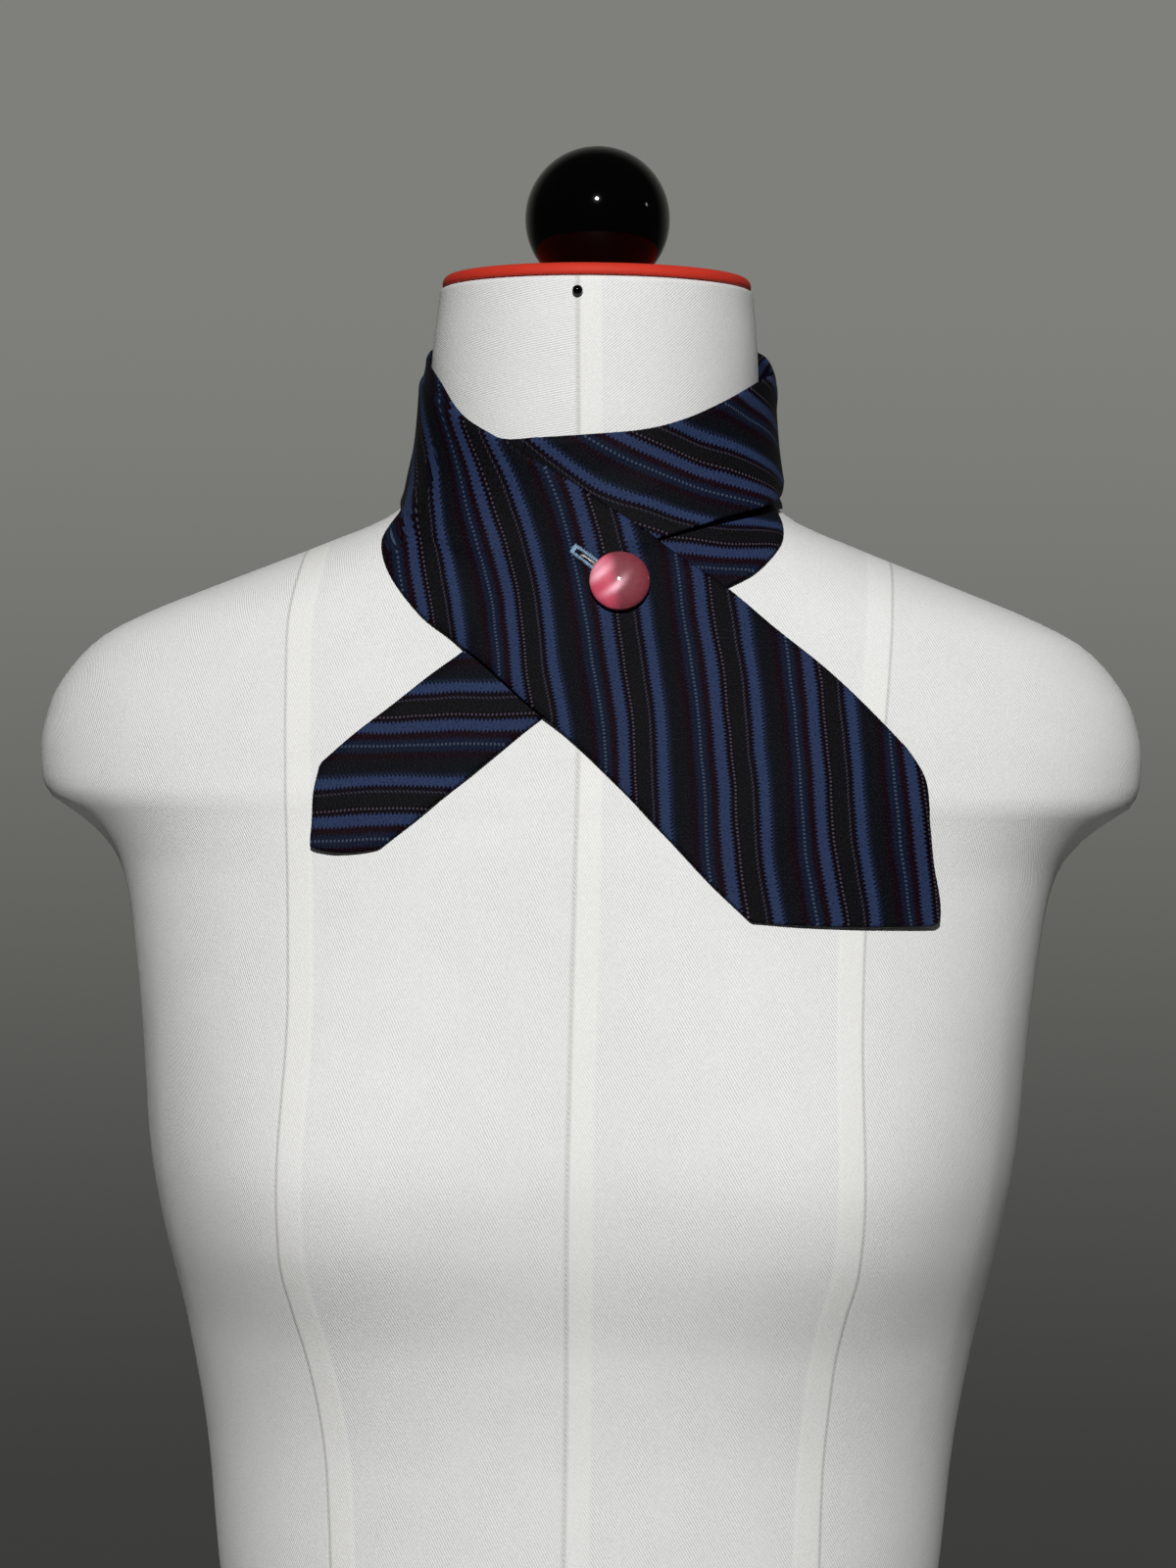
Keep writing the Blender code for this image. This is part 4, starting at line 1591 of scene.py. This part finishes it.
@dataclass
class TieScarf:
    """The whole tie: its four stretches in the order in which they lie on each other."""

    stretches: tuple[TieStretch, ...] = field(
        default_factory=lambda: (
            TieStretch(
                "tail_silk",
                "scarf_tail_end",
                TAIL_SECTIONS,
                0.0,
                straight=4,
                slips=(Slip(0, 24, 24), Slip(9, 20, 20)),
                top_corners=(3,),
                low_corners=(3,),
                point_to=4,
                creases=(Crease(64, 3, 16, 4, 0.4, 0.3), Crease(92, -6, 12, 3.5, 0.4, -0.5)),
            ),
            TieStretch(
                "inner_turn_silk",
                "scarf_inner_turn",
                INNER_SECTIONS,
                117.0,
                straight=0,
                slips=(Slip(0, 21, 21), Slip(16, 21, 21)),
                creases=(
                    Crease(66, 11, 14, 3, 0.6, 0.5),
                    Crease(128, 12, 20, 4, 0.5, 0.3),
                    Crease(205, 13, 24, 4, 0.6, -0.2),
                    Crease(262, 11, 16, 3.5, 0.6, 0.3),
                ),
            ),
            TieStretch(
                "outer_turn_silk",
                "scarf_outer_turn",
                OUTER_SECTIONS,
                493.0,
                straight=14,
                slips=(
                    Slip(0, 5.5, 5.5),
                    Slip(4, 5.5, 5.5),
                    Slip(5, 4.6, 1.7),
                    Slip(6, 4.6, 0.9),
                    Slip(7, 0.4, -2.2),
                    Slip(8, -1, -4.5),
                    Slip(14, -17.6, -15),
                ),
                creases=(
                    Crease(118, 4.5, 7, 2.0, 0.6, -0.2),
                    Crease(121, -1.0, 6, 1.9, 0.5, -0.3),
                    Crease(92, -12, 24, 5, 0.5, 0.2),
                    Crease(172, -13, 18, 4, 0.7, 0.5),
                    Crease(205, 8, 24, 4.5, 0.8, 0.25),
                    Crease(252, -4, 28, 5.5, 0.6, -0.2),
                    Crease(286, 16, 15, 4, 0.7, 0.4),
                ),
            ),
            TieStretch(
                "blade_silk",
                "scarf_front_blade",
                BLADE_SECTIONS,
                812.0,
                straight=15,
                slips=(
                    Slip(0, 38, 38),
                    Slip(4, 38, 38),
                    Slip(5, 33, 39),
                    Slip(6, 28, 28),
                    Slip(7, 17.5, 8),
                    Slip(8, 14, -8.6),
                    Slip(9, 8.2, -12.1),
                    Slip(10, 4.5, -8.5),
                    Slip(11, 3.5, -5.5),
                    Slip(12, 0.3, -2.2),
                    Slip(13, 1, -0.8),
                    Slip(14, 0.2, 0.7),
                    Slip(15, -1, 3.5),
                    Slip(16, 0.2, 3.3),
                    Slip(17, 1.5, 2.3),
                    Slip(18, 1.4, 1.8),
                    Slip(19, 0.8, 0.8),
                    Slip(20, -0.8, -0.2),
                    Slip(22, -0.5, -0.5),
                ),
                top_corners=(17,),
                low_corners=(18,),
                point_from=15,
                creases=(
                    Crease(159, 26, 15, 5, 0.9, 0.4),
                    Crease(181.5, -20.4, 6, 2.0, 0.6, -0.37),
                    Crease(183, -24.8, 5, 1.8, 0.5, -0.5),
                    Crease(193.5, -30.5, 5, 1.8, 0.6, -1.05),
                    Crease(150, -2, 26, 6, 0.5, 0.75),
                    Crease(232, 6, 44, 9, 0.5, 0.25),
                    Crease(288, -12, 34, 7, 0.4, -0.2),
                    Crease(28, 9, 22, 4, 0.7, 0.3),
                    Crease(58, -12, 17, 3.5, 0.6, -0.35),
                    Crease(95, 12, 20, 5, 0.8, 0.5),
                ),
            ),
        )
    )

    def build(self, form: BVHTree, silk: bpy.types.Material) -> list[bpy.types.Object]:
        """Builds each stretch on the form and on those under it.

        Args:
            form: Search tree of the torso.
            silk: The finish of the tie.

        Returns:
            The cloths in order, the blade last.
        """
        trees, cloths, below = [form], [], ["torso_cover"]
        for stretch in self.stretches:
            stretch.lay_out(form)
            stretch.settle(trees)
            cloth = stretch.build(silk)
            stretch.declare(cloth, list(below))
            trees.append(mesh_tree(cloth))
            cloths.append(cloth)
            below.append(cloth.name)
        return cloths


def mesh_tree(thing: bpy.types.Object) -> BVHTree:
    """Makes a search tree of a mesh.

    Args:
        thing: The object that has the mesh.

    Returns:
        The tree, in metres.
    """
    mesh = thing.data
    points = [point.co for point in mesh.vertices]
    return BVHTree.FromPolygons(points, [face.vertices for face in mesh.polygons])


@dataclass
class DomedButton:
    """The domed shank button."""

    radius: float = 10.7
    dome: float = 3.6
    rim: float = 2.4
    stand: float = 1.2
    shank: float = 1.1
    shank_deep: float = 2.2
    rim_level: float = 0.6
    rim_steps: tuple[tuple[float, float], ...] = ((1.2, 0.0), (0.4, 0.25), (0.1, 0.8))
    drop: float = 0.5
    probe: float = 6.0
    probe_from: float = 200.0
    around: int = 96
    dome_rows: int = 24

    def place(self, blade: BVHTree) -> Matrix:
        """Works out how the button lies on the blade.

        Args:
            blade: Search tree of the blade.

        Returns:
            The button's frame in metres, +Z out of the cloth.
        """
        low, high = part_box("button")
        middle = (low + high) / 2
        spots = []
        for right, up in ((0, 0), (1, 0), (-1, 0), (0, 1), (0, -1)):
            x = middle.x + right * self.probe * MM
            z = middle.z + (up * self.probe - self.drop) * MM
            start = Vector((x, -self.probe_from * MM, z))
            spots.append(blade.ray_cast(start, Vector((0, 1, 0)))[0])
        side = (spots[1] - spots[2]).normalized()
        out = side.cross(spots[3] - spots[4]).normalized()
        turn = Matrix((side, out.cross(side), out)).transposed().to_4x4()
        return Matrix.Translation(spots[0]) @ turn

    def build(self, place: Matrix, pearl: bpy.types.Material) -> bpy.types.Object:
        """Makes the button's shank, flat back, rounded rim and dome.

        Args:
            place: The button's frame.
            pearl: The finish of the button.

        Returns:
            The button.
        """
        base = self.stand + self.rim * self.rim_level
        profile = [(self.shank, -self.shank_deep), (self.shank, self.stand)]
        profile += [(self.radius - inward, self.stand + up) for inward, up in self.rim_steps]
        profile.append((self.radius, base))
        for bend in np.linspace(0.12, math.pi / 2 - 0.03, self.dome_rows):
            profile.append((self.radius * math.cos(bend), base + self.dome * math.sin(bend)))
        rings = turned_rings(profile, self.around, place)
        parts = MeshParts()
        parts.add_rings(rings, caps=True)
        local = (rings.reshape(-1, 3) - np.array(place.translation)) @ np.array(place.to_3x3())
        parts.flat = list(local[:, :2])
        button = parts.build("button_pearl", pearl)
        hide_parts("button")
        return button


@dataclass
class Buttonhole:
    """The stitched slit in the blade, open a little, with pale sewing threads inside."""

    long: float = 19.4
    half_open: float = 0.6
    below: float = 1.6
    fall: float = math.radians(36.0)
    rail_middle: float = 1.3
    rail_half: float = 0.6
    pitch: float = 0.5
    thread: float = 0.23
    uneven: float = 0.08
    lean: float = 0.12
    bar_long: float = 1.2
    bar_pitch: float = 0.36
    bar_uneven: float = 0.1
    bar_rise: float = 0.12
    seed: int = 7
    cut_deep: float = 2.6
    loose_thread: float = 0.19
    loose_low: float = 0.2
    loose_dip: float = 0.8
    loose_arch: float = 0.25
    cut_around: int = 24
    thread_around: int = 7
    probe_from: float = 8.0
    stitching: Thread = Thread("pale_blue_thread", 160, 198, 226)
    sewing: Thread = Thread("ecru_thread", 236, 222, 208)
    arch: tuple[tuple[float, float], ...] = (
        (0.0, -0.25),
        (0.12, 0.08),
        (0.35, 0.22),
        (0.65, 0.22),
        (0.88, 0.08),
        (1.0, -0.25),
    )
    loose: tuple[tuple[float, float, float, float], ...] = (
        (18.0, -0.38, 10.4, 0.34),
        (15.4, 0.1, 10.0, 0.42),
        (17.6, 0.3, 9.8, -0.34),
    )

    def axes(self, place: Matrix) -> tuple[Vector, Vector, Vector]:
        """Finds the directions of the slit.

        Args:
            place: The button's frame.

        Returns:
            Directions along the slit to its upper end, across it, and out of the cloth.
        """
        side, up, out = (place.to_3x3().col[k] for k in range(3))
        c, s = math.cos(self.fall), math.sin(self.fall)
        return up * s - side * c, up * c + side * s, out

    def cut(self, blade: bpy.types.Object, place: Matrix) -> None:
        """Cuts the slit through the blade.

        Args:
            blade: The blade's cloth.
            place: The button's frame.
        """
        along, across, out = self.axes(place)
        spots = []
        for t in np.linspace(0, 2 * math.pi, self.cut_around, endpoint=False):
            end = self.long if math.cos(t) > 0 else -self.below
            end -= math.copysign(self.half_open, math.cos(t))
            spots.append((end + self.half_open * math.cos(t), self.half_open * math.sin(t)))
        middle = place.translation
        rings = [
            [middle + (along * a + across * b + out * h) * MM for a, b in spots]
            for h in (-self.cut_deep, self.cut_deep)
        ]
        parts = MeshParts()
        parts.add_rings(np.array(rings), caps=True)
        cutter = parts.build("slit_cutter", blade.data.materials[0])
        modifier = blade.modifiers.new("slit", "BOOLEAN")
        modifier.operation = "DIFFERENCE"
        modifier.solver = "EXACT"
        modifier.object = cutter
        bpy.context.view_layer.update()
        shaped = blade.evaluated_get(bpy.context.evaluated_depsgraph_get())
        cut_mesh = bpy.data.meshes.new_from_object(shaped)
        blade.modifiers.clear()
        blade.data = cut_mesh
        bpy.data.objects.remove(cutter)

    def on_cloth(self, blade: BVHTree, place: Matrix, a: float, b: float, rise: float) -> Vector:
        """Finds a point on the cloth by the slit.

        Args:
            blade: Search tree of the blade.
            place: The button's frame.
            a: Distance along the slit in millimetres.
            b: Distance across it in millimetres.
            rise: Height above the cloth in millimetres.

        Returns:
            The point in metres.
        """
        along, across, out = self.axes(place)
        start = place.translation + (along * a + across * b + out * self.probe_from) * MM
        spot, normal = blade.ray_cast(start, -out)[:2]
        return spot + normal * rise * MM

    def tube(self, parts: MeshParts, points: list[Vector], radius: float) -> None:
        """Adds a thread.

        Args:
            parts: The mesh that it becomes part of.
            points: Its middle line in metres.
            radius: Its radius in millimetres.
        """
        rings = []
        turns = np.linspace(0, 2 * math.pi, self.thread_around, endpoint=False)
        for i, point in enumerate(points):
            ahead = points[min(i + 1, len(points) - 1)] - points[max(i - 1, 0)]
            side = ahead.orthogonal().normalized()
            up = ahead.normalized().cross(side)
            outs = [side * math.cos(t) + up * math.sin(t) for t in turns]
            rings.append([point + out * radius * MM for out in outs])
        parts.add_rings(np.array(rings), caps=True)

    def build_stitches(
        self, blade: BVHTree, place: Matrix, thread: bpy.types.Material
    ) -> bpy.types.Object:
        """Sews the rails of close stitches along both sides of the slit, and the bar at its end.

        Args:
            blade: Search tree of the blade.
            place: The button's frame.
            thread: The finish of the stitching.

        Returns:
            The stitches as one piece.
        """
        parts = MeshParts()
        draws = np.random.default_rng(self.seed)
        for side in (-1, 1):
            for a in np.arange(-self.below, self.long + 0.3, self.pitch):
                start = a + draws.uniform(-self.uneven, self.uneven)
                wide = self.rail_half + draws.uniform(-self.uneven, self.uneven)
                points = []
                for w, rise in self.arch:
                    off = side * self.rail_middle + (w - 0.5) * 2 * wide
                    points.append(self.on_cloth(blade, place, start + self.lean * w, off, rise))
                self.tube(parts, points, self.thread)
        for a in np.arange(self.long + 0.1, self.long + self.bar_long, self.bar_pitch):
            wide = self.rail_middle + self.rail_half
            wide += draws.uniform(-self.bar_uneven, self.bar_uneven)
            points = []
            for w, rise in self.arch:
                off = (2 * w - 1) * wide
                points.append(self.on_cloth(blade, place, a, off, rise + self.bar_rise))
            self.tube(parts, points, self.thread)
        stitches = parts.build("buttonhole_stitches", thread)
        return stitches

    def build_loose(
        self, blade: BVHTree, place: Matrix, thread: bpy.types.Material
    ) -> bpy.types.Object:
        """Lays the pale threads that cross inside the slit.

        Args:
            blade: Search tree of the blade.
            place: The button's frame.
            thread: The finish of the threads.

        Returns:
            The threads as one piece.
        """
        parts = MeshParts()
        along, across, out = self.axes(place)
        for a0, b0, a1, b1 in self.loose:
            points = []
            for w in np.linspace(0, 1, 12):
                a, b = a0 + (a1 - a0) * w, b0 + (b1 - b0) * w
                rise = -self.loose_low - self.loose_dip * math.cos(math.pi * w) ** 8
                rise += self.loose_arch * math.sin(math.pi * w)
                base = self.on_cloth(blade, place, a, self.rail_middle, 0.0)
                points.append(base + (across * (b - self.rail_middle) + out * rise) * MM)
            self.tube(parts, points, self.loose_thread)
        loose = parts.build("button_sewing_threads", thread)
        return loose


# The studio


@dataclass(frozen=True)
class Lamp:
    """A soft round light that looks at the chest.

    It stands at an azimuth in degrees round the form, from the front towards +X, and at a lift in
    degrees above the chest. Its distance and width are in metres. Gloss mirrors it if glossy.
    """

    name: str
    azimuth: float
    lift: float
    away: float
    size: float
    watts: float
    glossy: bool = True


@dataclass
class Studio:
    """Camera, floor, lights and backdrop tone, in metres."""

    distance: float = 1.300
    height: float = 0.540
    azimuth: float = math.radians(2.5)
    roll: float = math.radians(0.7)
    lens: float = 80.1
    floor_radius: float = 0.6
    floor_hole: float = 0.02
    floor_around: int = 96
    chest: float = 0.55
    lamps: tuple[Lamp, ...] = (
        Lamp("key", 1.0, 27.0, 3.0, 0.18, 88.0),
        Lamp("side_right", 88.0, 22.0, 2.2, 0.12, 0.5),
        Lamp("back", 182.5, 6.0, 2.6, 0.8, 30.0, glossy=False),
    )
    low_tone: tuple[int, int, int] = (60, 61, 58)
    high_tone: tuple[int, int, int] = (127, 128, 123)
    front_tone: tuple[int, int, int] = (46, 46, 45)

    def place_camera(self) -> None:
        """Sets the camera at the photograph's viewing angle."""
        data = bpy.data.cameras.new("camera")
        data.lens = self.lens
        data.sensor_width = 36
        data.clip_end = 20
        camera = bpy.data.objects.new("camera", data)
        bpy.context.scene.collection.objects.link(camera)
        c, s = math.cos(self.azimuth), math.sin(self.azimuth)
        ahead, right, up = Vector((-s, c, 0)), Vector((c, s, 0)), Vector((0, 0, 1))
        x_axis = right * math.cos(self.roll) + up * math.sin(self.roll)
        y_axis = up * math.cos(self.roll) - right * math.sin(self.roll)
        frame = Matrix((x_axis, y_axis, -ahead)).transposed().to_4x4()
        frame.translation = -ahead * self.distance + up * self.height
        camera.matrix_world = frame
        bpy.context.scene.camera = camera

    def lay_floor(self) -> None:
        """Lays a round pale floor under the form."""
        profile = [(self.floor_hole / MM, 0.0), (self.floor_radius / MM, 0.0)]
        parts = MeshParts()
        parts.add_rings(turned_rings(profile, self.floor_around, Matrix()))
        parts.faces.append(tuple(range(self.floor_around)))
        floor = parts.build("studio_floor", PaleFloor().material())
        floor.location.z = -0.5 * MM

    def add_light(self, lamp: Lamp) -> None:
        """Adds a light that the camera doesn't see.

        Args:
            lamp: Where the light stands and how strong it is.
        """
        data = bpy.data.lights.new(lamp.name, "AREA")
        data.shape = "DISK"
        data.size = lamp.size
        data.energy = lamp.watts
        light = bpy.data.objects.new(lamp.name, data)
        a, e = math.radians(lamp.azimuth), math.radians(lamp.lift)
        out = Vector((math.sin(a) * math.cos(e), -math.cos(a) * math.cos(e), math.sin(e)))
        light.location = out * lamp.away + Vector((0, 0, self.chest))
        light.rotation_mode = "QUATERNION"
        light.rotation_quaternion = out.to_track_quat("Z", "Y")
        light.visible_camera = False
        light.visible_glossy = lamp.glossy
        bpy.context.scene.collection.objects.link(light)

    def set_backdrop(self) -> None:
        """Sets a plain grey backdrop tone, darker low down, at the sides and behind the camera."""
        world = bpy.data.worlds.new("backdrop")
        world.use_nodes = True
        nodes, links = world.node_tree.nodes, world.node_tree.links
        split = nodes.new("ShaderNodeSeparateXYZ")
        links.new(nodes.new("ShaderNodeTexCoord").outputs["Generated"], split.inputs[0])
        tones = (
            (split.outputs[2], -0.22, 0.16, rgb(*self.low_tone), rgb(*self.high_tone)),
            (split.outputs[1], 0.35, 0.85, rgb(*self.front_tone), None),
        )
        colour = None
        for value, low, high, first, second in tones:
            share = nodes.new("ShaderNodeMapRange")
            share.interpolation_type = "SMOOTHSTEP"
            share.inputs["From Min"].default_value = low
            share.inputs["From Max"].default_value = high
            links.new(value, share.inputs["Value"])
            mix = nodes.new("ShaderNodeMix")
            mix.data_type = "RGBA"
            links.new(share.outputs["Result"], mix.inputs["Factor"])
            mix.inputs[6].default_value = first
            if second is None:
                links.new(colour, mix.inputs[7])
            else:
                mix.inputs[7].default_value = second
            colour = mix.outputs[2]
        links.new(colour, nodes["Background"].inputs["Color"])
        bpy.context.scene.world = world
        bpy.context.scene.view_settings.view_transform = "Standard"

    def build(self) -> None:
        """Sets up the whole studio."""
        self.place_camera()
        self.lay_floor()
        self.set_backdrop()
        for lamp in self.lamps:
            self.add_light(lamp)


def main() -> None:
    """Builds everything in order and reports each piece."""
    logging.basicConfig(level=logging.INFO, format="%(message)s")
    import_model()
    Studio().build()
    form = DressForm()
    torso = form.build_torso(TwillCover().material())
    tree = mesh_tree(torso)
    black = GlossBlack().material()
    pieces = [
        torso,
        form.build_cap(RedSatin().material()),
        form.build_ball(black),
        form.build_pin(black, tree),
    ]
    scarf = TieScarf()
    cloths = scarf.build(tree, StripedSilk().material())
    pieces += cloths
    button, slit = DomedButton(), Buttonhole()
    blade = mesh_tree(cloths[-1])
    place = button.place(blade)
    slit.cut(cloths[-1], place)
    pieces += [
        slit.build_stitches(blade, place, slit.stitching.material()),
        slit.build_loose(blade, place, slit.sewing.material()),
        button.build(place, PearlPink().material()),
    ]
    for piece in pieces:
        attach(piece, "root")
        log.info("%s: %d faces", piece.name, len(piece.data.polygons))


if __name__ == "__main__":
    main()
